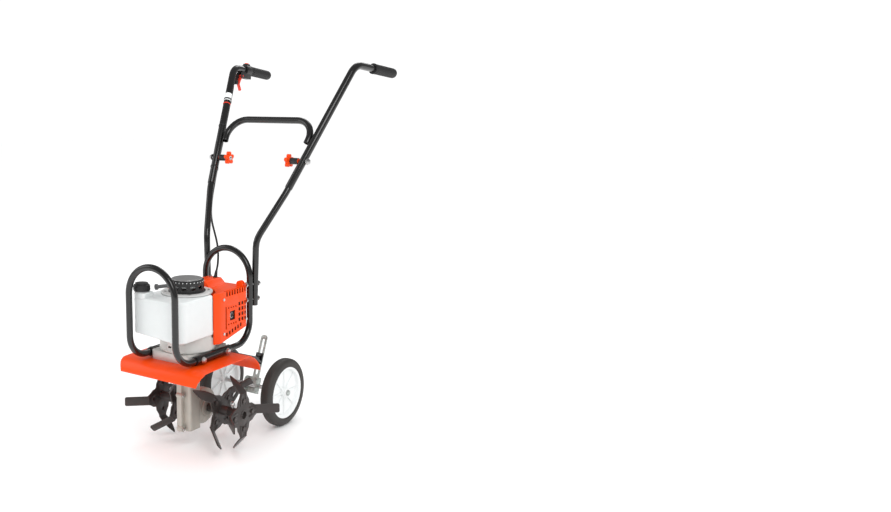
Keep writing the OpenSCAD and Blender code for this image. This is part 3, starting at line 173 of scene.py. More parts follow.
FINISHES = {
    "frame": Finish("black_paint", (0.006, 0.0058, 0.006), 0.22, Grain.GLOSS, coat=0.35, mottle=0.15,
                    grain_size=0.004, grain_height=0.00002, dust=0.004),
    "fender": Finish("orange_paint", (0.85, 0.062, 0.002), 0.34, Grain.GLOSS, coat=0.12,
                     grain_size=0.003, grain_height=0.00003, wear=0.15, dust=0.006, specular=0.2),
    "cover": Finish("orange_plastic", (0.85, 0.064, 0.002), 0.36, Grain.MOULDED, coat=0.08,
                    grain_size=0.0008, grain_height=0.00002, dust=0.005, specular=0.2),
    "cast": Finish("cast_alloy", (0.5, 0.48, 0.43), 0.5, Grain.CAST, metallic=0.5,
                   grain_size=0.0011, grain_height=0.00012, mottle=0.18, wear=0.3,
                   wear_colour=(0.72, 0.71, 0.68), dust=0.03),
    "pale": Finish("cast_alloy", (0.66, 0.655, 0.63), 0.46, Grain.CAST, metallic=0.45,
                   grain_size=0.0011, grain_height=0.0001, mottle=0.1, wear=0.2,
                   wear_colour=(0.78, 0.77, 0.75), dust=0.012),
    "housing": Finish("white_plastic", (0.66, 0.66, 0.65), 0.4, Grain.MOULDED, metallic=0.3,
                      grain_size=0.0009, grain_height=0.00003, mottle=0.06, dust=0.012),
    "steel": Finish("steel", (0.6, 0.6, 0.6), 0.27, Grain.BRUSHED, metallic=1.0,
                    grain_size=0.0006, grain_height=0.00002),
    "zinc": Finish("galvanised", (0.5, 0.54, 0.52), 0.42, Grain.SPANGLED, metallic=0.85,
                   grain_size=0.006, grain_height=0.00002, mottle=0.25),
    "tine": Finish("tine_steel", (0.028, 0.021, 0.021), 0.38, Grain.GLOSS, metallic=0.25, coat=0.15,
                   grain_size=0.002, grain_height=0.00006, mottle=0.3, wear=0.55,
                   wear_colour=(0.2, 0.18, 0.17), dust=0.035),
    "grip": Finish("grip_rubber", (0.017, 0.017, 0.018), 0.6, Grain.RUBBER, grain_size=0.0008,
                   grain_height=0.00008, dust=0.008),
    "tyre": Finish("tyre_rubber", (0.016, 0.0145, 0.014), 0.52, Grain.RUBBER, grain_size=0.001,
                   grain_height=0.00006, dust=0.05),
    "white": Finish("white_plastic", (0.83, 0.85, 0.85), 0.32, Grain.MOULDED, coat=0.15,
                    grain_size=0.0009, grain_height=0.00002, mottle=0.03, dust=0.012),
    "tank": Finish("tank_plastic", (0.71, 0.735, 0.735), 0.36, Grain.MOULDED, grain_size=0.0012,
                   grain_height=0.00003, mottle=0.04, translucent=0.35, dust=0.012),
    "black": Finish("black_plastic", (0.016, 0.016, 0.017), 0.42, Grain.MOULDED,
                    grain_size=0.0007, grain_height=0.00004, dust=0.008),
    # Lighter grey copy of the black plastic: painted highlight, used for the pull handle.
    "grey": Finish("black_plastic", (0.09, 0.09, 0.093), 0.46, Grain.MOULDED,
                   grain_size=0.0007, grain_height=0.00004, dust=0.008),
    "red": Finish("red_plastic", (0.75, 0.035, 0.012), 0.34, Grain.MOULDED, coat=0.2, dust=0.01),
    "bronze": Finish("bronze", (0.5, 0.3, 0.11), 0.34, Grain.BRUSHED, metallic=1.0),
    "sooty": Finish("dark_steel", (0.09, 0.082, 0.075), 0.55, Grain.CAST, metallic=0.7,
                    mottle=0.35),
    "glaze": Finish("ceramic", (0.74, 0.71, 0.65), 0.16, Grain.GLOSS, coat=0.5),
}

FRAME_NODES = ("cage_front_hoop", "cage_rear_hoop", "rail_sleeves", "lower_handle_left",
               "lower_handle_right", "upper_handle_left", "upper_handle_right", "cross_brace",
               "wheel_arm")
TINE_NODES = ("tine_inner_left", "tine_inner_right", "tine_outer_left", "tine_outer_right")


class EffectGroups:
    """Shader node groups that several finishes share."""

    @staticmethod
    def _start(name: str, inputs: dict[str, float], outputs: list[str]) -> bpy.types.NodeTree:
        """A new shader group with value inputs, a Vector input and value outputs."""
        tree = bpy.data.node_groups.new(name, "ShaderNodeTree")
        tree.interface.new_socket("Vector", in_out="INPUT", socket_type="NodeSocketVector")
        for label, value in inputs.items():
            socket = tree.interface.new_socket(label, in_out="INPUT",
                                               socket_type="NodeSocketFloat")
            socket.default_value = value
        for label in outputs:
            tree.interface.new_socket(label, in_out="OUTPUT", socket_type="NodeSocketFloat")
        return tree

    @classmethod
    def speckle(cls) -> bpy.types.NodeTree:
        """Group that gives fine relief as Height and broad patches as Patch."""
        known = bpy.data.node_groups.get("speckle")
        if known:
            return known
        tree = cls._start("speckle", {"Fine Scale": 800.0, "Patch Scale": 30.0},
                          ["Height", "Patch"])
        nodes, link = tree.nodes, tree.links.new
        inside = nodes.new("NodeGroupInput")
        out = nodes.new("NodeGroupOutput")
        fine = nodes.new("ShaderNodeTexNoise")
        fine.inputs["Detail"].default_value = 3.0
        patch = nodes.new("ShaderNodeTexNoise")
        patch.inputs["Detail"].default_value = 4.0
        patch.inputs["Roughness"].default_value = 0.6
        for texture, scale in ((fine, "Fine Scale"), (patch, "Patch Scale")):
            link(inside.outputs["Vector"], texture.inputs["Vector"])
            link(inside.outputs[scale], texture.inputs["Scale"])
        link(fine.outputs["Fac"], out.inputs["Height"])
        link(patch.outputs["Fac"], out.inputs["Patch"])
        return tree

    @classmethod
    def spangle(cls) -> bpy.types.NodeTree:
        """Group that gives the crystal pattern of hot-dip zinc."""
        known = bpy.data.node_groups.get("spangle")
        if known:
            return known
        tree = cls._start("spangle", {"Fine Scale": 160.0, "Patch Scale": 30.0},
                          ["Height", "Patch"])
        nodes, link = tree.nodes, tree.links.new
        inside = nodes.new("NodeGroupInput")
        out = nodes.new("NodeGroupOutput")
        cells = nodes.new("ShaderNodeTexVoronoi")
        link(inside.outputs["Vector"], cells.inputs["Vector"])
        link(inside.outputs["Fine Scale"], cells.inputs["Scale"])
        grey = nodes.new("ShaderNodeSeparateColor")
        link(cells.outputs["Color"], grey.inputs["Color"])
        link(cells.outputs["Distance"], out.inputs["Height"])
        link(grey.outputs[0], out.inputs["Patch"])
        return tree

    @classmethod
    def brushing(cls) -> bpy.types.NodeTree:
        """Group that gives long fine scratches along X as Height."""
        known = bpy.data.node_groups.get("brushing")
        if known:
            return known
        tree = cls._start("brushing", {"Fine Scale": 900.0, "Patch Scale": 30.0},
                          ["Height", "Patch"])
        nodes, link = tree.nodes, tree.links.new
        inside = nodes.new("NodeGroupInput")
        out = nodes.new("NodeGroupOutput")
        stretch = nodes.new("ShaderNodeMapping")
        stretch.inputs["Scale"].default_value = (0.06, 1.0, 1.0)
        fine = nodes.new("ShaderNodeTexNoise")
        patch = nodes.new("ShaderNodeTexNoise")
        link(inside.outputs["Vector"], stretch.inputs["Vector"])
        link(stretch.outputs["Vector"], fine.inputs["Vector"])
        link(inside.outputs["Fine Scale"], fine.inputs["Scale"])
        link(inside.outputs["Vector"], patch.inputs["Vector"])
        link(inside.outputs["Patch Scale"], patch.inputs["Scale"])
        link(fine.outputs["Fac"], out.inputs["Height"])
        link(patch.outputs["Fac"], out.inputs["Patch"])
        return tree

    @classmethod
    def edge_wear(cls) -> bpy.types.NodeTree:
        """Group whose Mask is high on sharp edges, broken up by noise."""
        known = bpy.data.node_groups.get("edge_wear")
        if known:
            return known
        tree = cls._start("edge_wear", {"Amount": 0.3, "Break Scale": 220.0}, ["Mask"])
        nodes, link = tree.nodes, tree.links.new
        inside = nodes.new("NodeGroupInput")
        out = nodes.new("NodeGroupOutput")
        rounded = nodes.new("ShaderNodeBevel")
        rounded.samples = 4
        rounded.inputs["Radius"].default_value = 1.2 * MM
        shape = nodes.new("ShaderNodeNewGeometry")
        dot = nodes.new("ShaderNodeVectorMath")
        dot.operation = "DOT_PRODUCT"
        link(rounded.outputs["Normal"], dot.inputs[0])
        link(shape.outputs["Normal"], dot.inputs[1])
        edge = nodes.new("ShaderNodeMapRange")
        edge.inputs["From Min"].default_value = 0.97
        edge.inputs["From Max"].default_value = 0.82
        link(dot.outputs["Value"], edge.inputs["Value"])
        noise = nodes.new("ShaderNodeTexNoise")
        link(inside.outputs["Vector"], noise.inputs["Vector"])
        link(inside.outputs["Break Scale"], noise.inputs["Scale"])
        broken = cls._math(tree, "MULTIPLY", edge.outputs["Result"], noise.outputs["Fac"])
        scaled = cls._math(tree, "MULTIPLY", broken, inside.outputs["Amount"])
        link(scaled, out.inputs["Mask"])
        return tree

    @classmethod
    def dust(cls) -> bpy.types.NodeTree:
        """Group whose Mask grows close to the ground, with noise added."""
        known = bpy.data.node_groups.get("settled_dust")
        if known:
            return known
        tree = cls._start("settled_dust", {"Amount": 0.1, "Break Scale": 45.0}, ["Mask"])
        nodes, link = tree.nodes, tree.links.new
        inside = nodes.new("NodeGroupInput")
        out = nodes.new("NodeGroupOutput")
        place = nodes.new("ShaderNodeSeparateXYZ")
        link(inside.outputs["Vector"], place.inputs["Vector"])
        low = nodes.new("ShaderNodeMapRange")
        low.inputs["From Min"].default_value = 0.30
        low.inputs["From Max"].default_value = 0.0
        link(place.outputs["Z"], low.inputs["Value"])
        noise = nodes.new("ShaderNodeTexNoise")
        noise.inputs["Detail"].default_value = 6.0
        link(inside.outputs["Vector"], noise.inputs["Vector"])
        link(inside.outputs["Break Scale"], noise.inputs["Scale"])
        both = cls._math(tree, "ADD", low.outputs["Result"], noise.outputs["Fac"])
        scaled = cls._math(tree, "MULTIPLY", both, inside.outputs["Amount"])
        link(scaled, out.inputs["Mask"])
        return tree

    @staticmethod
    def _math(tree: bpy.types.NodeTree, operation: str, one: bpy.types.NodeSocket,
              two: bpy.types.NodeSocket) -> bpy.types.NodeSocket:
        """Result socket of a Math node that joins two sockets."""
        node = tree.nodes.new("ShaderNodeMath")
        node.operation = operation
        node.use_clamp = True
        tree.links.new(one, node.inputs[0])
        tree.links.new(two, node.inputs[1])
        return node.outputs["Value"]


DUST_COLOUR = (0.42, 0.37, 0.31)


@dataclass
class MaterialMaker:
    """Turns one finish into a node material."""

    finish: Finish
    name: str

    def build(self) -> bpy.types.Material:
        """Build the material.

        Returns:
            The new material, with its plain values on the shader's own sockets.
        """
        self.material = bpy.data.materials.new(self.name)
        self.material.use_nodes = True
        self.tree = self.material.node_tree
        self.shader = self.tree.nodes["Principled BSDF"]
        self._plain_values()
        relief = self._relief()
        colour = self._mottled(relief.outputs["Patch"])
        colour = self._worn(colour)
        self._dusted(colour, relief.outputs["Patch"])
        self._bump(relief.outputs["Height"])
        return self.material

    def _plain_values(self) -> None:
        """Set what is the same all over the surface."""
        sockets = self.shader.inputs
        sockets["Metallic"].default_value = self.finish.metallic
        sockets["Specular IOR Level"].default_value = self.finish.specular
        sockets["Coat Weight"].default_value = self.finish.coat
        sockets["Coat Roughness"].default_value = self.finish.coat_roughness
        if self.finish.translucent:
            sockets["Subsurface Weight"].default_value = self.finish.translucent
            sockets["Subsurface Radius"].default_value = (0.9, 1.0, 1.0)
            sockets["Subsurface Scale"].default_value = 6 * MM

    def _group(self, tree: bpy.types.NodeTree, **values: float) -> bpy.types.ShaderNodeGroup:
        """Place a shared group, fed by object coordinates."""
        node = self.tree.nodes.new("ShaderNodeGroup")
        node.node_tree = tree
        place = self.tree.nodes.new("ShaderNodeTexCoord")
        self.tree.links.new(place.outputs["Object"], node.inputs["Vector"])
        for label, value in values.items():
            node.inputs[label.replace("_", " ")].default_value = value
        return node

    def _relief(self) -> bpy.types.ShaderNodeGroup:
        """The group that suits the finish's grain."""
        maker = {Grain.BRUSHED: EffectGroups.brushing, Grain.SPANGLED: EffectGroups.spangle}
        tree = maker.get(self.finish.grain, EffectGroups.speckle)()
        return self._group(tree, Fine_Scale=1 / self.finish.grain_size,
                           Patch_Scale=1 / self.finish.mottle_size)

    def _blend(self, mask: bpy.types.NodeSocket, one: object, two: object,
               how: str = "MIX") -> bpy.types.NodeSocket:
        """Mix two colours, each a socket or a plain colour, by a mask."""
        mix = self.tree.nodes.new("ShaderNodeMix")
        mix.data_type = "RGBA"
        mix.blend_type = how
        self.tree.links.new(mask, mix.inputs[0])
        for value, slot in ((one, mix.inputs[6]), (two, mix.inputs[7])):
            if isinstance(value, bpy.types.NodeSocket):
                self.tree.links.new(value, slot)
            else:
                slot.default_value = (*value, 1.0)
        return mix.outputs[2]

    def _mottled(self, patch: bpy.types.NodeSocket) -> bpy.types.NodeSocket:
        """Base colour that drifts a little lighter and darker."""
        dark = tuple(c * (1 - self.finish.mottle) for c in self.finish.colour)
        light = tuple(min(1.0, c * (1 + self.finish.mottle)) for c in self.finish.colour)
        return self._blend(patch, dark, light)

    def _worn(self, colour: bpy.types.NodeSocket) -> bpy.types.NodeSocket:
        """Colour with the finish rubbed through on the edges."""
        if not self.finish.wear:
            return colour
        wear = self._group(EffectGroups.edge_wear(), Amount=self.finish.wear * 2)
        return self._blend(wear.outputs["Mask"], colour, self.finish.wear_colour)

    def _dusted(self, colour: bpy.types.NodeSocket, patch: bpy.types.NodeSocket) -> None:
        """Lay dust on the colour, and roughen the surface where it lies."""
        dust = self._group(EffectGroups.dust(), Amount=self.finish.dust)
        colour = self._blend(dust.outputs["Mask"], colour, DUST_COLOUR)
        self.tree.links.new(colour, self.shader.inputs["Base Color"])
        rough = self.tree.nodes.new("ShaderNodeMapRange")
        rough.inputs["To Min"].default_value = self.finish.roughness * 0.85
        rough.inputs["To Max"].default_value = min(1.0, self.finish.roughness * 1.2)
        self.tree.links.new(patch, rough.inputs["Value"])
        total = self.tree.nodes.new("ShaderNodeMath")
        total.operation = "ADD"
        self.tree.links.new(rough.outputs["Result"], total.inputs[0])
        self.tree.links.new(dust.outputs["Mask"], total.inputs[1])
        self.tree.links.new(total.outputs["Value"], self.shader.inputs["Roughness"])

    def _bump(self, height: bpy.types.NodeSocket) -> None:
        """Fine relief from the height."""
        bump = self.tree.nodes.new("ShaderNodeBump")
        bump.inputs["Distance"].default_value = self.finish.grain_height
        bump.inputs["Strength"].default_value = 0.8
        self.tree.links.new(height, bump.inputs["Height"])
        self.tree.links.new(bump.outputs["Normal"], self.shader.inputs["Normal"])


# ---- mesh work ------------------------------------------------------------------------------


class Bench:
    """Makes meshes and puts pieces on their bodies."""

    SMOOTH_ANGLE = math.radians(34)

    @staticmethod
    def object_of(name: str, verts: list[Vector], faces: list[tuple[int, ...]]) -> bpy.types.Object:
        """A new mesh object in the scene."""
        mesh = bpy.data.meshes.new(name)
        mesh.from_pydata([tuple(v) for v in verts], [], faces)
        mesh.validate()
        piece = bpy.data.objects.new(name, mesh)
        bpy.context.scene.collection.objects.link(piece)
        return piece

    @classmethod
    def applied(cls, piece: bpy.types.Object) -> None:
        """Bake the piece's modifiers into its mesh."""
        graph = bpy.context.evaluated_depsgraph_get()
        mesh = bpy.data.meshes.new_from_object(piece.evaluated_get(graph))
        piece.modifiers.clear()
        piece.data = mesh

    @classmethod
    def rounded(cls, piece: bpy.types.Object, width: float, segments: int = 2,
                angle: float = 32.0, clamp: bool = True) -> None:
        """Round the piece's sharp edges and bake the result.

        Args:
            piece: the object to round.
            width: how far each edge is cut back.
            segments: facets across an edge.
            angle: least angle in degrees of an edge that is rounded.
            clamp: whether to shrink the width where edges are close.
        """
        bevel = piece.modifiers.new("edges", "BEVEL")
        bevel.width = width
        bevel.segments = segments
        bevel.limit_method = "ANGLE"
        bevel.angle_limit = math.radians(angle)
        bevel.use_clamp_overlap = clamp
        bevel.harden_normals = False
        cls.applied(piece)

    @classmethod
    def smoothed(cls, piece: bpy.types.Object, angle: float | None = None) -> None:
        """Shade smooth, with creases where faces meet at more than an angle."""
        piece.data.shade_smooth()
        piece.data.set_sharp_from_angle(angle=cls.SMOOTH_ANGLE if angle is None else angle)

    @classmethod
    def outward(cls, piece: bpy.types.Object) -> None:
        """Merge doubled points and turn every face outwards."""
        work = bmesh.new()
        work.from_mesh(piece.data)
        bmesh.ops.remove_doubles(work, verts=work.verts, dist=1e-6)
        bmesh.ops.recalc_face_normals(work, faces=work.faces)
        work.to_mesh(piece.data)
        work.free()

    @classmethod
    def dress(cls, piece: bpy.types.Object, finish: Finish, body: str) -> bpy.types.Object:
        """Give a piece its finish and its body, and log it."""
        piece.data.materials.clear()
        piece.data.materials.append(finish.material())
        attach(piece, body)
        LOG.info("piece %s on %s, %d faces", piece.name, body, len(piece.data.polygons))
        return piece

    @classmethod
    def copy_of(cls, node: str, name: str) -> bpy.types.Object:
        """A merged copy of a CAD node, with its flat areas as single faces."""
        source = frame["nodes"][node]
        piece = bpy.data.objects.new(name, source.data.copy())
        bpy.context.scene.collection.objects.link(piece)
        work = bmesh.new()
        work.from_mesh(piece.data)
        bmesh.ops.remove_doubles(work, verts=work.verts, dist=2e-6)
        bmesh.ops.dissolve_limit(work, angle_limit=math.radians(0.6), verts=work.verts,
                                 edges=work.edges, use_dissolve_boundaries=False)
        work.to_mesh(piece.data)
        work.free()
        return piece

    @classmethod
    def refine(cls, node: str, finish: Finish, width: float = 0.4 * MM, segments: int = 2,
               clamp: bool = True) -> bpy.types.Object:
        """Replace a CAD node by a copy of it with rounded edges.

        Args:
            node: the CAD node.
            finish: what the copy is made of.
            width: how far each edge is cut back.
            segments: facets across an edge.
            clamp: whether to shrink the width where edges are close.

        Returns:
            The finished copy, on the node's own body.
        """
        piece = cls.copy_of(node, f"{node}_skin")
        cls.rounded(piece, width, segments, clamp=clamp)
        cls.smoothed(piece)
        cls.dress(piece, finish, BODY_OF[node])
        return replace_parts(piece, node)

    @classmethod
    def lathe(cls, name: str, profile: list[tuple[float, float]], place: Matrix,
              steps: int = 64) -> bpy.types.Object:
        """A closed shape turned about a frame's Z.

        Args:
            name: the piece's name.
            profile: closed outline as radius and height.
            place: the frame it is turned in.
            steps: how many facets go round.

        Returns:
            The new object.
        """
        verts: list[Vector] = []
        for step in range(steps):
            turn = 2 * math.pi * step / steps
            verts += [place @ Vector((r * math.cos(turn), r * math.sin(turn), h))
                      for r, h in profile]
        count = len(profile)
        faces = []
        for step in range(steps):
            after = (step + 1) % steps
            for i in range(count):
                j = (i + 1) % count
                faces.append((step * count + i, after * count + i, after * count + j,
                              step * count + j))
        piece = cls.object_of(name, verts, faces)
        cls.tidy_poles(piece)
        return piece

    @classmethod
    def turned(cls, name: str, profile: list[tuple[float, float]], place: Matrix, finish: Finish,
               body: str, steps: int = 64) -> bpy.types.Object:
        """A turned piece, smoothed and dressed."""
        piece = cls.lathe(name, profile, place, steps)
        cls.smoothed(piece)
        return cls.dress(piece, finish, body)

    @classmethod
    def tidy_poles(cls, piece: bpy.types.Object) -> None:
        """Merge the points on the axis, drop empty faces and turn the rest outwards."""
        work = bmesh.new()
        work.from_mesh(piece.data)
        bmesh.ops.remove_doubles(work, verts=work.verts, dist=1e-7)
        bmesh.ops.dissolve_degenerate(work, edges=work.edges, dist=1e-8)
        bmesh.ops.recalc_face_normals(work, faces=work.faces)
        work.to_mesh(piece.data)
        work.free()

    @classmethod
    def sweep(cls, name: str, path: list[Vector], radius: float,
              sides: int = 16) -> bpy.types.Object:
        """A round bar along a line of points, closed at both ends."""
        verts: list[Vector] = []
        normal = Vector((0.94, -0.34, 0.02))
        for i, point in enumerate(path):
            way = (path[min(i + 1, len(path) - 1)] - path[max(i - 1, 0)]).normalized()
            normal = (normal - way * normal.dot(way)).normalized()
            across = way.cross(normal)
            for k in range(sides):
                turn = 2 * math.pi * k / sides
                verts.append(point + radius * (math.cos(turn) * normal + math.sin(turn) * across))
        faces: list[tuple[int, ...]] = [tuple(range(sides - 1, -1, -1))]
        for i in range(len(path) - 1):
            for k in range(sides):
                m = (k + 1) % sides
                faces.append((i * sides + k, i * sides + m, (i + 1) * sides + m,
                              (i + 1) * sides + k))
        last = (len(path) - 1) * sides
        faces.append(tuple(last + k for k in range(sides)))
        piece = cls.object_of(name, verts, faces)
        cls.outward(piece)
        return piece

    @classmethod
    def slab(cls, name: str, outline: list[tuple[float, float]], thickness: float,
             place: Matrix, width: float = 0.0) -> bpy.types.Object:
        """A plate of an outline in a frame's XY plane, from Z 0 up, with rounded edges."""
        count = len(outline)
        verts = [place @ Vector((x, y, z)) for z in (0.0, thickness) for x, y in outline]
        faces: list[tuple[int, ...]] = [tuple(range(count)), tuple(range(count, 2 * count))]
        faces += [(i, (i + 1) % count, count + (i + 1) % count, count + i) for i in range(count)]
        piece = cls.object_of(name, verts, faces)
        cls.outward(piece)
        if width:
            cls.rounded(piece, width, 2)
        return piece


BODY_OF = {node: body for body, nodes in frame["record"]["behaviour"]["bodies"].items()
           for node in nodes}


def rounded_profile(outer: float, low: float, high: float, inner: float, edge: float,
                    steps: int = 5) -> list[tuple[float, float]]:
    """Lathe outline of a ring whose two outer edges are quarter rounds.

    Args:
        outer: outer radius.
        low: bottom height.
        high: top height.
        inner: inner radius, 0 for a solid disc.
        edge: radius of the rounding.
        steps: facets in each quarter.

    Returns:
        The outline as radius and height.
    """
    outline = [(inner, low)]
    for k in range(steps + 1):
        turn = math.pi / 2 * k / steps
        outline.append((outer - edge + edge * math.sin(turn), low + edge - edge * math.cos(turn)))
    for k in range(steps + 1):
        turn = math.pi / 2 * k / steps
        outline.append((outer - edge + edge * math.cos(turn), high - edge + edge * math.sin(turn)))
    outline.append((inner, high))
    return outline


# ---- repeated things by geometry nodes --------------------------------------------------------


class Stud(Enum):
    """What a pattern repeats."""

    BLOCK = "block"
    SCREW = "screw"
    HOOP = "hoop"


@dataclass
class Pattern:
    """A geometry node tree that sets one small shape on every point of a mesh.

    The shape's Z follows the point's own normal.
    """

    stud: Stud
    size: Vector = field(default_factory=lambda: Vector((1.0, 1.0, 1.0)))
    seed: int = 3

    def tree(self) -> bpy.types.NodeTree:
        """Build the tree for this stud, once."""
        name = f"pattern_{self.stud.value}"
        known = bpy.data.node_groups.get(name)
        if known:
            return known
        tree = bpy.data.node_groups.new(name, "GeometryNodeTree")
        face = tree.interface
        face.new_socket("Points", in_out="INPUT", socket_type="NodeSocketGeometry")
        face.new_socket("Size", in_out="INPUT", socket_type="NodeSocketVector")
        face.new_socket("Turn Jitter", in_out="INPUT", socket_type="NodeSocketFloat")
        face.new_socket("Seed", in_out="INPUT", socket_type="NodeSocketInt")
        face.new_socket("Finish", in_out="INPUT", socket_type="NodeSocketMaterial")
        face.new_socket("Geometry", in_out="OUTPUT", socket_type="NodeSocketGeometry")
        nodes, link = tree.nodes, tree.links.new
        inside = nodes.new("NodeGroupInput")
        out = nodes.new("NodeGroupOutput")
        shape = self._shape(tree)
        facing = nodes.new("GeometryNodeInputNamedAttribute")
        facing.data_type = "FLOAT_VECTOR"
        facing.inputs["Name"].default_value = "facing"
        align = nodes.new("FunctionNodeAlignRotationToVector")
        align.axis = "Z"
        link(facing.outputs["Attribute"], align.inputs["Vector"])
        jitter = nodes.new("FunctionNodeRandomValue")
        link(inside.outputs["Turn Jitter"], jitter.inputs[3])
        link(inside.outputs["Seed"], jitter.inputs["Seed"])
        spin = nodes.new("ShaderNodeCombineXYZ")
        link(jitter.outputs[1], spin.inputs["Z"])
        turned = nodes.new("FunctionNodeRotateRotation")
        turned.rotation_space = "LOCAL"
        link(align.outputs["Rotation"], turned.inputs["Rotation"])
        as_turn = nodes.new("FunctionNodeEulerToRotation")
        link(spin.outputs["Vector"], as_turn.inputs["Euler"])
        link(as_turn.outputs["Rotation"], turned.inputs["Rotate By"])
        place = nodes.new("GeometryNodeInstanceOnPoints")
        link(inside.outputs["Points"], place.inputs["Points"])
        link(shape, place.inputs["Instance"])
        link(turned.outputs["Rotation"], place.inputs["Rotation"])
        link(inside.outputs["Size"], place.inputs["Scale"])
        real = nodes.new("GeometryNodeRealizeInstances")
        link(place.outputs["Instances"], real.inputs["Geometry"])
        paint = nodes.new("GeometryNodeSetMaterial")
        link(real.outputs["Geometry"], paint.inputs["Geometry"])
        link(inside.outputs["Finish"], paint.inputs["Material"])
        link(paint.outputs["Geometry"], out.inputs["Geometry"])
        return tree

    def _shape(self, tree: bpy.types.NodeTree) -> bpy.types.NodeSocket:
        """The shape that is repeated, one unit across and one unit high."""
        nodes, link = tree.nodes, tree.links.new
        if self.stud is Stud.BLOCK:
            block = nodes.new("GeometryNodeMeshCube")
            return block.outputs["Mesh"]
        if self.stud is Stud.HOOP:
            line = nodes.new("GeometryNodeCurvePrimitiveCircle")
            line.inputs["Resolution"].default_value = 40
            line.inputs["Radius"].default_value = 0.5
            section = nodes.new("GeometryNodeCurvePrimitiveCircle")
            section.inputs["Resolution"].default_value = 8
            section.inputs["Radius"].default_value = 0.028
            swept = nodes.new("GeometryNodeCurveToMesh")
            link(line.outputs["Curve"], swept.inputs["Curve"])
            link(section.outputs["Curve"], swept.inputs["Profile Curve"])
            smooth = nodes.new("GeometryNodeSetShadeSmooth")
            link(swept.outputs["Mesh"], smooth.inputs["Geometry"])
            return smooth.outputs["Geometry"]
        head = nodes.new("GeometryNodeMeshCylinder")
        head.inputs["Vertices"].default_value = 20
        head.inputs["Radius"].default_value = 0.5
        head.inputs["Depth"].default_value = 0.6
        bar = nodes.new("GeometryNodeMeshCube")
        bar.inputs["Size"].default_value = (0.62, 0.13, 0.7)
        cross = nodes.new("GeometryNodeMeshCube")
        cross.inputs["Size"].default_value = (0.13, 0.62, 0.7)
        cut = nodes.new("GeometryNodeMeshBoolean")
        cut.operation = "DIFFERENCE"
        lift = nodes.new("GeometryNodeTransform")
        lift.inputs["Translation"].default_value = (0.0, 0.0, 0.45)
        slots = nodes.new("GeometryNodeJoinGeometry")
        link(bar.outputs["Mesh"], slots.inputs["Geometry"])
        link(cross.outputs["Mesh"], slots.inputs["Geometry"])
        link(slots.outputs["Geometry"], lift.inputs["Geometry"])
        link(head.outputs["Mesh"], cut.inputs[0])
        link(lift.outputs["Geometry"], cut.inputs[1])
        return cut.outputs["Mesh"]

    def made(self, name: str, points: list[tuple[Vector, Vector]], finish: Finish,
             body: str, jitter: float = 0.0) -> bpy.types.Object:
        """Bake the pattern into one piece.

        Args:
            name: the piece's name.
            points: each shape's place and the way its Z faces.
            finish: what the shapes are made of.
            body: the CAD body they ride on.
            jitter: most that a shape is turned about its own Z, in radians.

        Returns:
            The finished piece.
        """
        piece = Bench.object_of(name, [p for p, _ in points], [])
        facing = piece.data.attributes.new("facing", "FLOAT_VECTOR", "POINT")
        facing.data.foreach_set("vector", [c for _, way in points for c in way.normalized()])
        modifier = piece.modifiers.new("pattern", "NODES")
        modifier.node_group = self.tree()
        sockets = {s.name: s.identifier for s in modifier.node_group.interface.items_tree
                   if s.in_out == "INPUT"}
        modifier[sockets["Size"]] = tuple(self.size)
        modifier[sockets["Turn Jitter"]] = jitter
        modifier[sockets["Seed"]] = self.seed
        modifier[sockets["Finish"]] = finish.material()
        Bench.applied(piece)
        return Bench.dress(piece, finish, body)


def ring_points(place: Matrix, radius: float, count: int, outward: bool = True,
                start: float = 0.0) -> list[tuple[Vector, Vector]]:
    """Points round a frame's Z, facing outwards or along Z."""
    points = []
    for k in range(count):
        turn = start + 2 * math.pi * k / count
        spoke = Vector((math.cos(turn), math.sin(turn), 0.0))
        way = spoke if outward else Vector((0.0, 0.0, 1.0))
        points.append((place @ (spoke * radius), place.to_3x3() @ way))
    return points


def spot(x: float, y: float, z: float) -> Vector:
    """Point from millimetres: across, behind the tine axle, above the ground."""
    return Vector((x * MM, y * MM + TINE_AXLE.y, z * MM))


def upright(x: float, y: float, z: float) -> Matrix:
    """Frame at a point of spot() with its Z straight up."""
    return Matrix.Translation(spot(x, y, z))


def catmull(points: list[Vector], steps: int) -> list[Vector]:
    """A smooth line through points.

    Args:
        points: what it passes through.
        steps: how many pieces each gap is cut into.

    Returns:
        The finer line, ends included.
    """
    line = []
    for i in range(len(points) - 1):
        a = points[max(i - 1, 0)]
        b = points[i]
        c = points[i + 1]
        d = points[min(i + 2, len(points) - 1)]
        for k in range(steps):
            t = k / steps
            line.append(0.5 * (2 * b + (c - a) * t + (2 * a - 5 * b + 4 * c - d) * t * t
                               + (3 * b - a - 3 * c + d) * t ** 3))
    return line + [points[-1]]


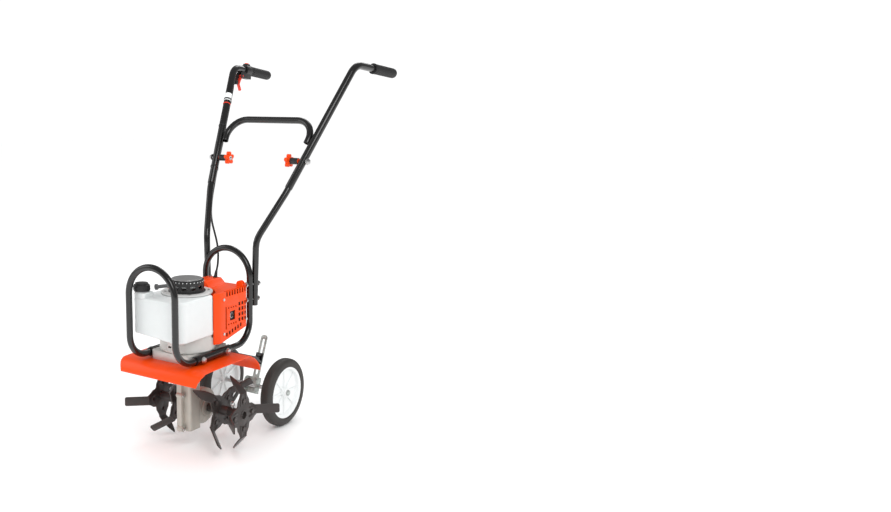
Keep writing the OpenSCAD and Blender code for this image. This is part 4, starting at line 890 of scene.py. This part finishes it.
def strap_loop(name: str, place: Matrix, apart: float, big: float, small: float,
               wide: float, thick: float) -> bpy.types.Object:
    """A flat tie drawn round two tubes that lie side by side.

    Args:
        name: the piece's name.
        place: frame with its Z along the tubes, and its X from the first towards the second.
        apart: distance between the tubes' middles.
        big: radius of the first tube.
        small: radius of the second.
        wide: width of the tie.
        thick: thickness of the tie.

    Returns:
        The tie.
    """
    lean = math.asin((big - small) / apart)
    steps = 20
    inner: list[Vector] = []
    outer: list[Vector] = []
    start = math.pi / 2 - lean
    for k in range(steps + 1):
        turn = start + (2 * math.pi - 2 * start) * k / steps
        way = Vector((math.cos(turn), math.sin(turn), 0.0))
        inner.append(way * big)
        outer.append(way * (big + thick))
    for k in range(steps + 1):
        turn = -start + 2 * start * k / steps
        way = Vector((math.cos(turn), math.sin(turn), 0.0))
        inner.append(Vector((apart, 0.0, 0.0)) + way * small)
        outer.append(Vector((apart, 0.0, 0.0)) + way * (small + thick))
    count = len(inner)
    rise = Vector((0.0, 0.0, wide / 2))
    verts = [place @ (p + s * rise) for s in (-1, 1) for p in inner + outer]
    faces = []
    for i in range(count):
        j = (i + 1) % count
        for low, high in ((0, 2 * count), (count, 3 * count)):
            faces.append((low + i, low + j, high + j, high + i))
        for level in (0, 2 * count):
            faces.append((level + i, level + j, level + count + j, level + count + i))
    piece = Bench.object_of(name, verts, faces)
    Bench.outward(piece)
    Bench.smoothed(piece)
    return piece


# ---- sub-assemblies ---------------------------------------------------------------------------


@dataclass
class TubeFrame:
    """Cage, handle tubes, brace and their bolts."""

    tube_edge: float = 0.25 * MM
    sleeve_edge: float = 0.7 * MM
    label_height: float = 0.966
    label_length: float = 26 * MM

    def build(self) -> None:
        """Dress the tubes and add the label band."""
        for node in FRAME_NODES:
            width = self.sleeve_edge if node in ("rail_sleeves", "wheel_arm") else self.tube_edge
            Bench.refine(node, FINISHES["frame"], width)
        Bench.refine("frame_bolts", FINISHES["steel"], 0.35 * MM)
        self._label()
        self._end_plugs()

    def _label(self) -> None:
        """Blank pale band round the throttle side's arm, and the tag tie below it."""
        place = self._arm_frame(self.label_height)
        band = rounded_profile(11.12 * MM, -self.label_length / 2, self.label_length / 2,
                               11.02 * MM, 0.04 * MM, 2)
        Bench.turned("blank_label_band", band, place, FINISHES["white"], "frame")
        tie = rounded_profile(12.2 * MM, -1.6 * MM, 1.6 * MM, 11.05 * MM, 0.5 * MM, 3)
        Bench.turned("tag_tie", tie, self._arm_frame(self.label_height - 20 * MM),
                     FINISHES["red"], "frame")

    def _arm_frame(self, height: float) -> Matrix:
        """Frame on the right arm's middle line, with its Z along the arm."""
        way = mirrored(ARM.way, -1.0)
        return aim(mirrored(ARM.at(height), -1.0), way)

    def _end_plugs(self) -> None:
        """Black caps in the handle feet."""
        for name, side in SIDES:
            foot = spot(83, 143.7, 384)
            cap = rounded_profile(9.4 * MM, -1.2 * MM, 1.5 * MM, 0.0, 1.0 * MM, 3)
            Bench.turned(f"foot_plug_{name}", cap, Matrix.Translation(mirrored(foot, side)),
                         FINISHES["black"], "frame", 40)


@dataclass
class Grips:
    """Moulded grips with a collar, fine rings and a rounded end."""

    start: float = 95 * MM
    length: float = 127 * MM
    radius: float = 15.25 * MM
    bore: float = 11.05 * MM
    ring_pitch: float = 4.4 * MM

    def build(self) -> None:
        """Make both grips in place of their CAD nodes."""
        for name, side in SIDES:
            way = mirrored(ARM.grip_way.normalized(), side)
            place = aim(mirrored(ARM.along_grip(self.start), side), way)
            grip = Bench.lathe(f"grip_{name}_sleeve", self._profile(), place, 72)
            Bench.smoothed(grip, math.radians(40))
            Bench.dress(grip, FINISHES["grip"], "frame")
            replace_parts(grip, f"grip_{name}")

    def _profile(self) -> list[tuple[float, float]]:
        """Outline of the sleeve: collar, ribbed body, rounded end and a closed bore."""
        outline = [(self.bore, 0.0), (self.radius + 0.4 * MM, 0.0), (self.radius + 1 * MM, 0.8 * MM),
                   (self.radius + 1 * MM, 4.2 * MM), (self.radius + 0.2 * MM, 5 * MM),
                   (self.radius - 1.5 * MM, 5.6 * MM), (self.radius - 1.5 * MM, 11.4 * MM),
                   (self.radius - 0.3 * MM, 12.2 * MM)]
        height = 14 * MM
        while height < self.length - 22 * MM:
            for rise, depth in ((0.0, 0.0), (2.6, 0.0), (3.1, 0.5), (3.7, 0.5)):
                outline.append((self.radius - depth * MM, height + rise * MM))
            height += self.ring_pitch
        dome = 14 * MM
        base = self.length - dome
        for k in range(9):
            turn = math.pi / 2 * k / 8
            outline.append((self.radius * math.cos(turn) ** 0.75 if k < 8 else 0.0,
                            base + dome * math.sin(turn)))
        outline += [(0.0, self.length - 9.2 * MM), (self.bore, self.length - 9.2 * MM)]
        return outline


@dataclass
class Knobs:
    """Star knobs with a sunk nut."""

    def build(self) -> None:
        """Round the knobs and put a bright nut in each."""
        for name, side in SIDES:
            node = f"knob_{name}"
            Bench.refine(node, FINISHES["cover"], 1.3 * MM, 3)
            low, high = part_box(node)
            face = low.x if side > 0 else high.x
            place = aim(Vector((face, ARM.knob.y, ARM.knob.z)), Vector((-side, 0.0, 0.0)))
            nut = [(r * MM, h * MM) for r, h in ((4.1, -1.0), (6.8, -1.0), (6.8, 0.8), (6.2, 1.3),
                                                 (4.1, 1.3))]
            piece = Bench.lathe(f"knob_nut_{name}", nut, place, 6)
            Bench.dress(piece, FINISHES["steel"], node)
            ring = rounded_profile(9.4 * MM, -39 * MM, -13 * MM, 8.02 * MM, 0.8 * MM, 3)
            Bench.turned(f"knob_collar_{name}", ring, place, FINISHES["black"], node, 48)


CABLE_ROUTE = [
    (-222, 472, 1015), (-219, 459, 1014), (-213, 446, 1006), (-206, 433, 991),
    (-197, 407, 951), (-187, 380, 911), (-178, 354, 871), (-168, 328, 831), (-159, 301, 791),
    (-150, 275, 751), (-140, 249, 711), (-128, 222, 673), (-114, 198, 634),
    (-102, 186, 606), (-88, 178, 580), (-70, 166, 554), (-54, 152, 530), (-42, 137, 508),
    (-31, 120, 491), (-22, 104, 481), (-17, 94, 473), (-17, 91, 460), (-24, 84, 446),
    (-38, 73, 435), (-52, 61, 427), (-60, 50, 419), (-61, 44, 406),
]


@dataclass
class ThrottleCable:
    """Control cable from the throttle unit to the carburettor, with its ties and sleeves."""

    radius: float = 3 * MM
    tie_points: tuple[int, ...] = (4, 6, 9)

    def build(self) -> None:
        """Make the cable first, then what holds it."""
        points = [spot(*p) for p in CABLE_ROUTE]
        line = catmull(points, 5)
        cable = Bench.sweep("throttle_cable_sheath", line, self.radius, 14)
        Bench.smoothed(cable)
        Bench.dress(cable, FINISHES["black"], "frame")
        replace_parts(cable, "throttle_cable")
        for number, index in enumerate(self.tie_points):
            self._tie(number, points[index])
        self._sleeve("cable_sleeve_engine", points[21], points[20] - points[21], 20 * MM)

    def _tie(self, number: int, on_cable: Vector) -> None:
        """Strap round the arm and the cable at one point of the route."""
        way = mirrored(ARM.way, -1.0)
        knob = mirrored(ARM.knob, -1.0)
        on_arm = knob + way * (on_cable - knob).dot(way)
        across = on_cable - on_arm
        x = across.normalized()
        y = way.cross(x)
        place = Matrix.Translation(on_arm) @ Matrix((x, y, way)).transposed().to_4x4()
        tube = 11.05 * MM if on_arm.z > 0.72 else 9.55 * MM
        if across.length < tube + self.radius * 0.9:
            return
        strap = strap_loop(f"cable_tie_{number}", place, across.length, tube,
                           self.radius + 0.05 * MM, 4.4 * MM, 1.1 * MM)
        Bench.dress(strap, FINISHES["black"], "frame")

    def _sleeve(self, name: str, at: Vector, way: Vector, length: float) -> None:
        """Tapered rubber sleeve round the cable where it enters a cover."""
        outline = [(3.05 * MM, -8 * MM), (5.2 * MM, -8 * MM), (5.2 * MM, 0.0), (7.4 * MM, 0.4 * MM),
                   (7.4 * MM, 2.2 * MM), (5.4 * MM, 3 * MM), (3.6 * MM, length),
                   (3.05 * MM, length)]
        Bench.turned(name, outline, aim(at, way), FINISHES["grip"], "frame", 32)


@dataclass
class ThrottleUnit:
    """Hand control on the operator's right."""

    def build(self) -> None:
        """Dress the housing and its moving pieces."""
        Bench.refine("throttle_housing", FINISHES["black"], 1.2 * MM, 3)
        Bench.refine("throttle_trigger", FINISHES["red"], 1.0 * MM, 3)
        Bench.refine("trigger_lock", FINISHES["cover"], 0.8 * MM, 3)
        Bench.refine("stop_switch", FINISHES["red"], 0.5 * MM)
        way = mirrored(ARM.grip_way.normalized(), -1.0)
        level = Vector((way.y, -way.x, 0.0)).normalized()
        points = []
        for along in (69, 86):
            middle = mirrored(ARM.along_grip(along * MM), -1.0)
            points.append((middle - level * 16.4 * MM, -level))
        Pattern(Stud.SCREW, Vector((5 * MM, 5 * MM, 3 * MM))).made(
            "throttle_screws", points, FINISHES["steel"], "frame", jitter=1.5)


@dataclass
class Engine:
    """Castings, fan housing, starter, shroud, carburettor and air cleaner."""

    cast_edge: float = 1.3 * MM
    disc_radius: float = 42 * MM
    notch_count: int = 28

    def build(self) -> None:
        """Dress every engine node, then add the covers' details."""
        for node in ("base_plate", "clutch_housing"):
            Bench.refine(node, FINISHES["pale"], self.cast_edge)
        Bench.refine("fan_housing", FINISHES["housing"], 0.8 * MM)
        for node in ("crankcase", "cylinder_block", "carburetor"):
            Bench.refine(node, FINISHES["cast"], self.cast_edge if node != "cylinder_block"
                         else 0.3 * MM)
        for node in ("piston", "flywheel"):
            Bench.refine(node, FINISHES["cast"], 0.4 * MM)
        for node in ("ball_bearings", "crankshaft"):
            Bench.refine(node, FINISHES["steel"], 0.3 * MM)
        for node in ("clutch_shoes", "muffler"):
            Bench.refine(node, FINISHES["sooty"], 1.0 * MM)
        Bench.refine("spark_plug", FINISHES["glaze"], 0.5 * MM)
        Bench.refine("starter_cover", FINISHES["black"], 0.9 * MM, 3)
        Bench.refine("starter_pulley", FINISHES["white"], 0.3 * MM)
        # Pull handle in the lighter grey copy of black plastic: painted highlight.
        Bench.refine("starter_handle", FINISHES["grey"], 1.2 * MM, 3)
        Bench.refine("ignition_coil", FINISHES["black"], 0.6 * MM)
        Bench.refine("engine_shroud", FINISHES["cover"], 1.1 * MM, 3)
        Bench.refine("air_cleaner", FINISHES["cover"], 1.4 * MM, 3)
        Bench.refine("choke_lever", FINISHES["black"], 0.6 * MM)
        Bench.refine("primer_bulb", FINISHES["white"], 1.0 * MM, 3)
        self._starter_top()
        self._starter_collar()
        self._shroud_details()

    def _starter_top(self) -> None:
        """Blank bright disc, pale notches and flange screws."""
        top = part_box("starter_cover")[1].z
        centre = Matrix.Translation((ENGINE.x, ENGINE.y, top))
        disc = rounded_profile(self.disc_radius, -0.6 * MM, 1.4 * MM, 0.0, 0.8 * MM, 4)
        Bench.turned("starter_blank_disc", disc, centre, FINISHES["steel"], "frame", 96)
        lower = Matrix.Translation((ENGINE.x, ENGINE.y, top - 5 * MM))
        Pattern(Stud.BLOCK, Vector((1.6 * MM, 3.0 * MM, 1.2 * MM))).made(
            "starter_notches", ring_points(lower, 46.3 * MM, self.notch_count),
            FINISHES["white"], "frame")
        flange = Matrix.Translation((ENGINE.x, ENGINE.y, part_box("fan_housing")[1].z + 0.8 * MM))
        Pattern(Stud.SCREW, Vector((7 * MM, 7 * MM, 4 * MM))).made(
            "starter_screws", ring_points(flange, 60 * MM, 4, outward=False, start=math.pi / 4),
            FINISHES["steel"], "frame", jitter=1.5)

    def _starter_collar(self) -> None:
        """Red collar of the pull handle."""
        low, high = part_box("starter_handle")
        way = Vector((-0.41, -0.912, 0.0)).normalized()
        start = Vector((ENGINE.x, ENGINE.y, (low.z + high.z) / 2)) + way * 51.9 * MM
        collar = rounded_profile(7.3 * MM, 0.4 * MM, 5.2 * MM, 6.4 * MM, 0.6 * MM, 3)
        Bench.turned("starter_handle_collar", collar, aim(start, way), FINISHES["red"],
                     "pull_handle", 40)

    def _shroud_details(self) -> None:
        """Screws of the shroud, bright outlet ring, and a dark sheet behind the slots as painted shade."""
        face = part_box("engine_shroud")[1].x
        out = Vector((1.0, 0.0, 0.0))
        side = [(Vector((face, spot(0, y, 0).y, z * MM)) + out * 0.7 * MM, out)
                for y, z in ((-6, 330), (-6, 426), (98, 352))]
        top = [(spot(-34, -10, 446.8), Vector((0.0, 0.0, 1.0))),
               (spot(-34, 88, 461.7), Vector((0.0, 0.0, 1.0)))]
        Pattern(Stud.SCREW, Vector((8 * MM, 8 * MM, 4 * MM))).made(
            "shroud_screws", side + top, FINISHES["steel"], "frame", jitter=1.5)
        ring = rounded_profile(7.9 * MM, -4 * MM, 0.6 * MM, 5.6 * MM, 0.5 * MM, 3)
        Bench.turned("exhaust_ring", ring, aim(spot(82.2, 34, 375), out), FINISHES["steel"],
                     "frame", 40)
        # Dark sheet inside the shroud: painted shade that makes the louvre slots read dark.
        front, rear, top, low, slope = -8 * MM, 98 * MM, 432 * MM, 311.532 * MM, 0.211
        shade_sheet_outline = [(front, low), (rear, low + slope * (rear - front)), (rear, top), (front, top)]
        place = Matrix(((0, 0, 1, 80.2 * MM), (1, 0, 0, TINE_AXLE.y), (0, 1, 0, 0), (0, 0, 0, 1)))
        piece = Bench.slab("shroud_painted_shade_sheet", shade_sheet_outline, 1.2 * MM, place, 0.3 * MM)
        Bench.dress(piece, FINISHES["black"], "frame")


def corner_arc(x: float, y: float, radius: float, quarter: int) -> list[tuple[float, float]]:
    """Points of a quarter circle, counted in quarters from the direction of X."""
    turns = [math.pi / 2 * (quarter + k / 6) for k in range(7)]
    return [(x + radius * math.cos(turn), y + radius * math.sin(turn)) for turn in turns]


@dataclass
class Tank:
    """Fuel tank, blow-moulded with soft edges round the engine's front, and its ribbed cap.

    Sizes are in millimetres in the machine's frame. The underside rises towards the right.
    """

    edge: float = 4.5
    half_width: float = 80.0
    front: float = -187.0
    rear: float = -45.0
    saddle_middle: float = -58.0
    saddle_radius: float = 67.5
    low: float = 335.0
    top: float = 445.5
    rise: float = math.tan(math.radians(5))
    neck_at: tuple[float, float] = (-65.0, -168.0)
    neck_top: float = 461.0
    rib_count: int = 30

    def build(self) -> None:
        """Build the tank, then give the cap its grip ribs."""
        parts = [self._loft("tank_shell", self._outline,
                            lambda x: self.low + (self.half_width - x) * self.rise, self.top,
                            self.edge),
                 self._loft("tank_step", self._step, lambda _: self.top - 3.0,
                            self.neck_top - 2.0, 2.2)]
        place = upright(*self.neck_at, 0.0)
        neck = [(0.0, self.top - 3), (18.0, self.top - 3), (18.0, self.neck_top - 1),
                (17.2, self.neck_top), (15.0, self.neck_top), (15.0, self.neck_top + 13.2),
                (14.4, self.neck_top + 14), (12.5, self.neck_top + 14),
                (12.5, self.neck_top - 4), (0.0, self.neck_top - 4)]
        parts.append(Bench.lathe("tank_neck", [(r * MM, h * MM) for r, h in neck], place, 48))
        tank = join("fuel_tank_shell", parts)
        Bench.smoothed(tank, math.radians(40))
        Bench.dress(tank, FINISHES["tank"], "frame")
        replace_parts(tank, "fuel_tank")
        Bench.refine("fuel_cap", FINISHES["black"], 0.8 * MM, 3)
        low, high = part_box("fuel_cap")
        middle = Matrix.Translation(((low.x + high.x) / 2, (low.y + high.y) / 2, low.z + 8 * MM))
        radius = (high.x - low.x) / 2
        Pattern(Stud.BLOCK, Vector((13 * MM, 2.2 * MM, 2.2 * MM))).made(
            "fuel_cap_ribs", ring_points(middle, radius, self.rib_count), FINISHES["black"], "cap")

    def _outline(self, inset: float) -> list[tuple[float, float]]:
        """Plan outline of the tank at one inset, with the hollow for the fan housing."""
        side = self.half_width - inset
        low, high = self.front + inset, self.rear - inset
        points = []
        for x, y, radius, quarter in ((-side, low, 9.0, 2), (side, low, 30.0, 3),
                                      (side, high, 6.0, 0)):
            r = radius - inset
            points += corner_arc(x - math.copysign(r, x), y + (r if y == low else -r), r, quarter)
        reach = self.saddle_radius + inset
        start = math.asin((high - self.saddle_middle) / reach)
        for k in range(41):
            turn = start - (math.pi + 2 * start) * k / 40
            points.append((reach * math.cos(turn), self.saddle_middle + reach * math.sin(turn)))
        r = 6.0 - inset
        return points + corner_arc(-side + r, high - r, r, 1)

    def _step(self, inset: float) -> list[tuple[float, float]]:
        """Plan outline of the raised corner round the filler neck."""
        x0, y0 = -self.half_width + 0.5 + inset, self.front + 0.5 + inset
        x1, y1 = self.neck_at[0] + 24 - inset, self.neck_at[1] + 24 - inset
        r = 8.0 - inset
        return (corner_arc(x0 + r, y0 + r, r, 2) + corner_arc(x1 - r, y0 + r, r, 3)
                + corner_arc(x1 - r, y1 - r, r, 0) + corner_arc(x0 + r, y1 - r, r, 1))

    @staticmethod
    def _loft(name: str, outline: Callable[[float], list[tuple[float, float]]],
              floor: Callable[[float], float], top: float, edge: float) -> bpy.types.Object:
        """Closed body between a floor and a level top, with rounded rims.

        Args:
            name: The new object's name.
            outline: Gives the plan outline at an inset.
            floor: Gives the underside's height at an X.
            top: Height of the top.
            edge: Radius of the rims.

        Returns:
            The new object.
        """
        turns = [math.pi / 2 * k / 5 for k in range(6)]
        rings = []
        for turn in turns:
            lift = edge * (1 - math.cos(turn))
            rings.append([spot(x, y, floor(x) + lift)
                          for x, y in outline(edge * (1 - math.sin(turn)))])
        for turn in turns:
            drop = edge * (1 - math.sin(turn))
            rings.append([spot(x, y, top - drop)
                          for x, y in outline(edge * (1 - math.cos(turn)))])
        count = len(rings[0])
        verts = [point for ring in rings for point in ring]
        last = (len(rings) - 1) * count
        faces: list[tuple[int, ...]] = [tuple(range(count)), tuple(range(last, last + count))]
        for row in range(len(rings) - 1):
            for k in range(count):
                a, b = row * count + k, row * count + (k + 1) % count
                faces.append((a, b, b + count, a + count))
        piece = Bench.object_of(name, verts, faces)
        Bench.outward(piece)
        return piece


@dataclass
class Gearbox:
    """Gear case, worm gear and tine axle."""

    def build(self) -> None:
        """Dress the case and what turns in it."""
        for name, _ in SIDES:
            Bench.refine(f"gear_case_{name}", FINISHES["cast"], 1.5 * MM, 3)
        Bench.refine("case_bolts", FINISHES["steel"], 0.35 * MM)
        Bench.refine("worm_wheel", FINISHES["bronze"], 0.25 * MM)
        self._paint("worm_shaft", FINISHES["steel"])
        Bench.refine("tine_axle", FINISHES["steel"], 0.5 * MM)
        Bench.refine("tine_clips", FINISHES["steel"], 0.3 * MM)

    @staticmethod
    def _paint(node: str, finish: Finish) -> None:
        """Give a CAD node its finish and leave its mesh alone."""
        piece = frame["nodes"][node]
        piece.data.materials.clear()
        piece.data.materials.append(finish.material())


@dataclass
class Tines:
    """Bladed stars with their pressed ribs."""

    rib_length: float = 32 * MM
    rib_width: float = 7 * MM
    rib_height: float = 1.5 * MM
    rib_middle: float = 44 * MM
    bolt_ring: float = 40 * MM

    def build(self) -> None:
        """Dress the stars and press a rib into each arm."""
        for node in TINE_NODES:
            Bench.refine(node, FINISHES["tine"], 0.55 * MM, 2)
        for star, x, phase in (("inner", 73.0, 45.0), ("outer", 146.0, 0.0)):
            for name, side in SIDES:
                self._ribs(f"tine_ribs_{star}_{name}", side * (x + 1.7) * MM, side, phase)
                self._bolts(f"tine_bolts_{star}_{name}", side * (x + 3.2) * MM, side, phase)

    def _bolts(self, name: str, x: float, side: float, phase: float) -> None:
        """Bolt heads on the ring of holes in one star."""
        way = Vector((side, 0.0, 0.0))
        turns = [math.radians(phase + 90 * arm) for arm in range(4)]
        middle = Vector((x, TINE_AXLE.y, TINE_AXLE.z))
        points = [(middle + Vector((0.0, -math.sin(turn), math.cos(turn))) * self.bolt_ring, way)
                  for turn in turns]
        Pattern(Stud.SCREW, Vector((13 * MM, 13 * MM, 6 * MM))).made(
            name, points, FINISHES["tine"], "tines", jitter=1.5)

    def _ribs(self, name: str, x: float, side: float, phase: float) -> None:
        """Capsule ribs on the outer face of one star."""
        parts = []
        for arm in range(4):
            turn = math.radians(phase + 90 * arm)
            for shift in (-11.5, 11.5):
                spin = Matrix.Rotation(turn, 4, "X")
                stand = Matrix(((0, 0, side, 0), (1, 0, 0, 0), (0, 1, 0, 0), (0, 0, 0, 1)))
                place = Matrix.Translation((x, TINE_AXLE.y, TINE_AXLE.z)) @ spin @ stand
                parts.append(Bench.slab(f"{name}_{arm}_{shift > 0}", self._capsule(shift * MM),
                                        self.rib_height, place, 0.9 * MM))
        piece = join(name, parts)
        Bench.smoothed(piece, math.radians(50))
        Bench.dress(piece, FINISHES["tine"], "tines")

    def _capsule(self, shift: float) -> list[tuple[float, float]]:
        """Outline of one rib, leaning in towards the blade's root."""
        half = self.rib_width / 2
        run = self.rib_length / 2 - half
        outline = []
        for end in (1, -1):
            for k in range(9):
                turn = math.pi * k / 8 + (0 if end > 0 else math.pi)
                x = half * math.cos(turn)
                y = end * run + half * math.sin(turn)
                lean = shift * (0.95 - 0.12 * y / run)
                outline.append((x + lean, y + self.rib_middle))
        return outline


def join(name: str, parts: list[bpy.types.Object]) -> bpy.types.Object:
    """One object from several meshes, under a new name."""
    work = bmesh.new()
    for part in parts:
        work.from_mesh(part.data)
        bpy.data.objects.remove(part)
    mesh = bpy.data.meshes.new(name)
    work.to_mesh(mesh)
    work.free()
    piece = bpy.data.objects.new(name, mesh)
    bpy.context.scene.collection.objects.link(piece)
    return piece


@dataclass
class Fender:
    """Sheet-metal fender."""

    def build(self) -> None:
        """Round the sheet's edges."""
        Bench.refine("fender", FINISHES["fender"], 0.7 * MM, 3)


@dataclass
class Wheels:
    """Two wheels on a slotted bar."""

    groove_depth: float = 0.8 * MM

    def build(self) -> None:
        """Make the tyres and dress the rims, bar and axle."""
        Bench.refine("wheel_bar", FINISHES["zinc"], 0.6 * MM, 2)
        Bench.refine("wheel_axle", FINISHES["steel"], 0.7 * MM, 2)
        for name, side in SIDES:
            hub = joint_point(f"wheel_{name}_spin")
            place = aim(hub, Vector((side, 0.0, 0.0)))
            Bench.refine(f"rim_{name}", FINISHES["white"], 0.8 * MM, 3)
            tyre = Bench.lathe(f"tyre_{name}_tread", self._tyre_profile(), place, 128)
            Bench.smoothed(tyre, math.radians(42))
            Bench.dress(tyre, FINISHES["tyre"], f"wheel_{name}")
            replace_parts(tyre, f"tyre_{name}")
            self._hub_clip(name, place)

    def _tyre_profile(self) -> list[tuple[float, float]]:
        """Outline of the tyre: bed on the rim, bulged walls, shallow grooves in the tread."""
        rim = 79 * MM
        height = 22.5 * MM
        half = 18 * MM
        outline = []
        steps = 44
        for k in range(steps + 1):
            turn = math.pi * k / steps
            c = math.cos(turn)
            q = math.sin(turn)
            radius = rim + height * abs(q) ** 0.75
            across = half * math.copysign(abs(c) ** 0.62, c)
            near = min(abs(abs(across) - 5.4 * MM), abs(across))
            if q > 0.8 and near < 0.7 * MM:
                radius -= self.groove_depth
            outline.append((radius, across))
        bed = [(77.4, -16.4), (77.4, -12), (74.4, -10), (74.4, 10), (77.4, 12), (77.4, 16.4)]
        return outline + [(r * MM, h * MM) for r, h in bed]

    @staticmethod
    def _hub_clip(name: str, place: Matrix) -> None:
        """Grey push-on cap over the axle's end."""
        end = 22 * MM
        cap = [(0.0, end - 5 * MM), (7.4 * MM, end - 5 * MM), (8.6 * MM, end - 4 * MM),
               (8.2 * MM, end - 1.5 * MM), (6.6 * MM, end + 0.4 * MM), (3.5 * MM, end + 1.2 * MM),
               (0.0, end + 1.4 * MM)]
        Bench.turned(f"hub_cap_{name}", cap, place, FINISHES["zinc"], "wheel_mount", 40)


# ---- camera, floor and light --------------------------------------------------------------------


@dataclass
class Studio:
    """Camera, pale floor and soft light."""

    place: Vector = Vector((1.525, -2.146232, 0.969))
    azimuth: float = math.radians(35.36)
    pitch: float = math.radians(10.03)
    lens: float = 36.36
    shift: float = 0.2194

    def camera(self) -> None:
        """Set up the camera."""
        data = bpy.data.cameras.new("camera")
        data.sensor_width = 36.0
        data.lens = self.lens
        data.shift_x = self.shift
        camera = bpy.data.objects.new("camera", data)
        bpy.context.scene.collection.objects.link(camera)
        back = Vector((math.sin(self.azimuth) * math.cos(self.pitch),
                       -math.cos(self.azimuth) * math.cos(self.pitch), math.sin(self.pitch)))
        right = Vector((math.cos(self.azimuth), math.sin(self.azimuth), 0.0))
        up = back.cross(right)
        turned = Matrix((right, up, back)).transposed().to_4x4()
        camera.matrix_world = Matrix.Translation(self.place) @ turned
        bpy.context.scene.camera = camera

    def floor(self) -> None:
        """A wide pale floor under the wheels."""
        half = 14.0
        corners = [Vector((x, y, -0.0005)) for x, y in
                   ((-half, -half), (half, -half), (half, half), (-half, half))]
        floor = Bench.object_of("studio_floor", corners, [(0, 1, 2, 3)])
        pale = bpy.data.materials.new("pale_floor")
        pale.use_nodes = True
        shader = pale.node_tree.nodes["Principled BSDF"]
        shader.inputs["Base Color"].default_value = (0.93, 0.93, 0.93, 1.0)
        shader.inputs["Roughness"].default_value = 0.7
        shader.inputs["Specular IOR Level"].default_value = 0.0
        floor.data.materials.append(pale)

    def lights(self) -> None:
        """Pale surroundings and three soft panels."""
        world = bpy.data.worlds.new("pale_world")
        bpy.context.scene.world = world
        world.use_nodes = True
        tree = world.node_tree
        sky = tree.nodes["Background"]
        mirrored_sky = tree.nodes.new("ShaderNodeBackground")
        for node, strength in ((sky, 1.08), (mirrored_sky, 0.3)):
            node.inputs["Color"].default_value = (1.0, 1.0, 1.0, 1.0)
            node.inputs["Strength"].default_value = strength
        path = tree.nodes.new("ShaderNodeLightPath")
        blend = tree.nodes.new("ShaderNodeMixShader")
        tree.links.new(path.outputs["Is Glossy Ray"], blend.inputs[0])
        tree.links.new(sky.outputs["Background"], blend.inputs[1])
        tree.links.new(mirrored_sky.outputs["Background"], blend.inputs[2])
        tree.links.new(blend.outputs["Shader"], tree.nodes["World Output"].inputs["Surface"])
        for name, place, size, power in (
                ("key", Vector((2.2, -1.8, 2.6)), 1.6, 34.0),
                ("fill", Vector((-2.4, -1.6, 1.8)), 1.8, 14.0),
                ("back", Vector((-0.6, 2.4, 2.8)), 1.6, 22.0)):
            self._panel(name, place, size, power)
        bpy.context.scene.view_settings.view_transform = "Standard"

    @staticmethod
    def _panel(name: str, place: Vector, size: float, power: float) -> None:
        """One soft panel that faces the machine."""
        data = bpy.data.lights.new(name, "AREA")
        data.size = size
        data.energy = power
        panel = bpy.data.objects.new(name, data)
        bpy.context.scene.collection.objects.link(panel)
        way = Vector((0.0, 0.0, 0.45)) - place
        panel.matrix_world = (Matrix.Translation(place)
                              @ way.to_track_quat("-Z", "Y").to_matrix().to_4x4())


def main() -> None:
    """Build the whole scene in order."""
    studio = Studio()
    studio.camera()
    ThrottleCable().build()
    for assembly in (TubeFrame(), Grips(), Knobs(), ThrottleUnit(), Engine(), Tank(), Gearbox(),
                     Tines(), Fender(), Wheels()):
        LOG.info("assembly %s", type(assembly).__name__)
        assembly.build()
    studio.floor()
    studio.lights()


if __name__ == "__main__":
    main()
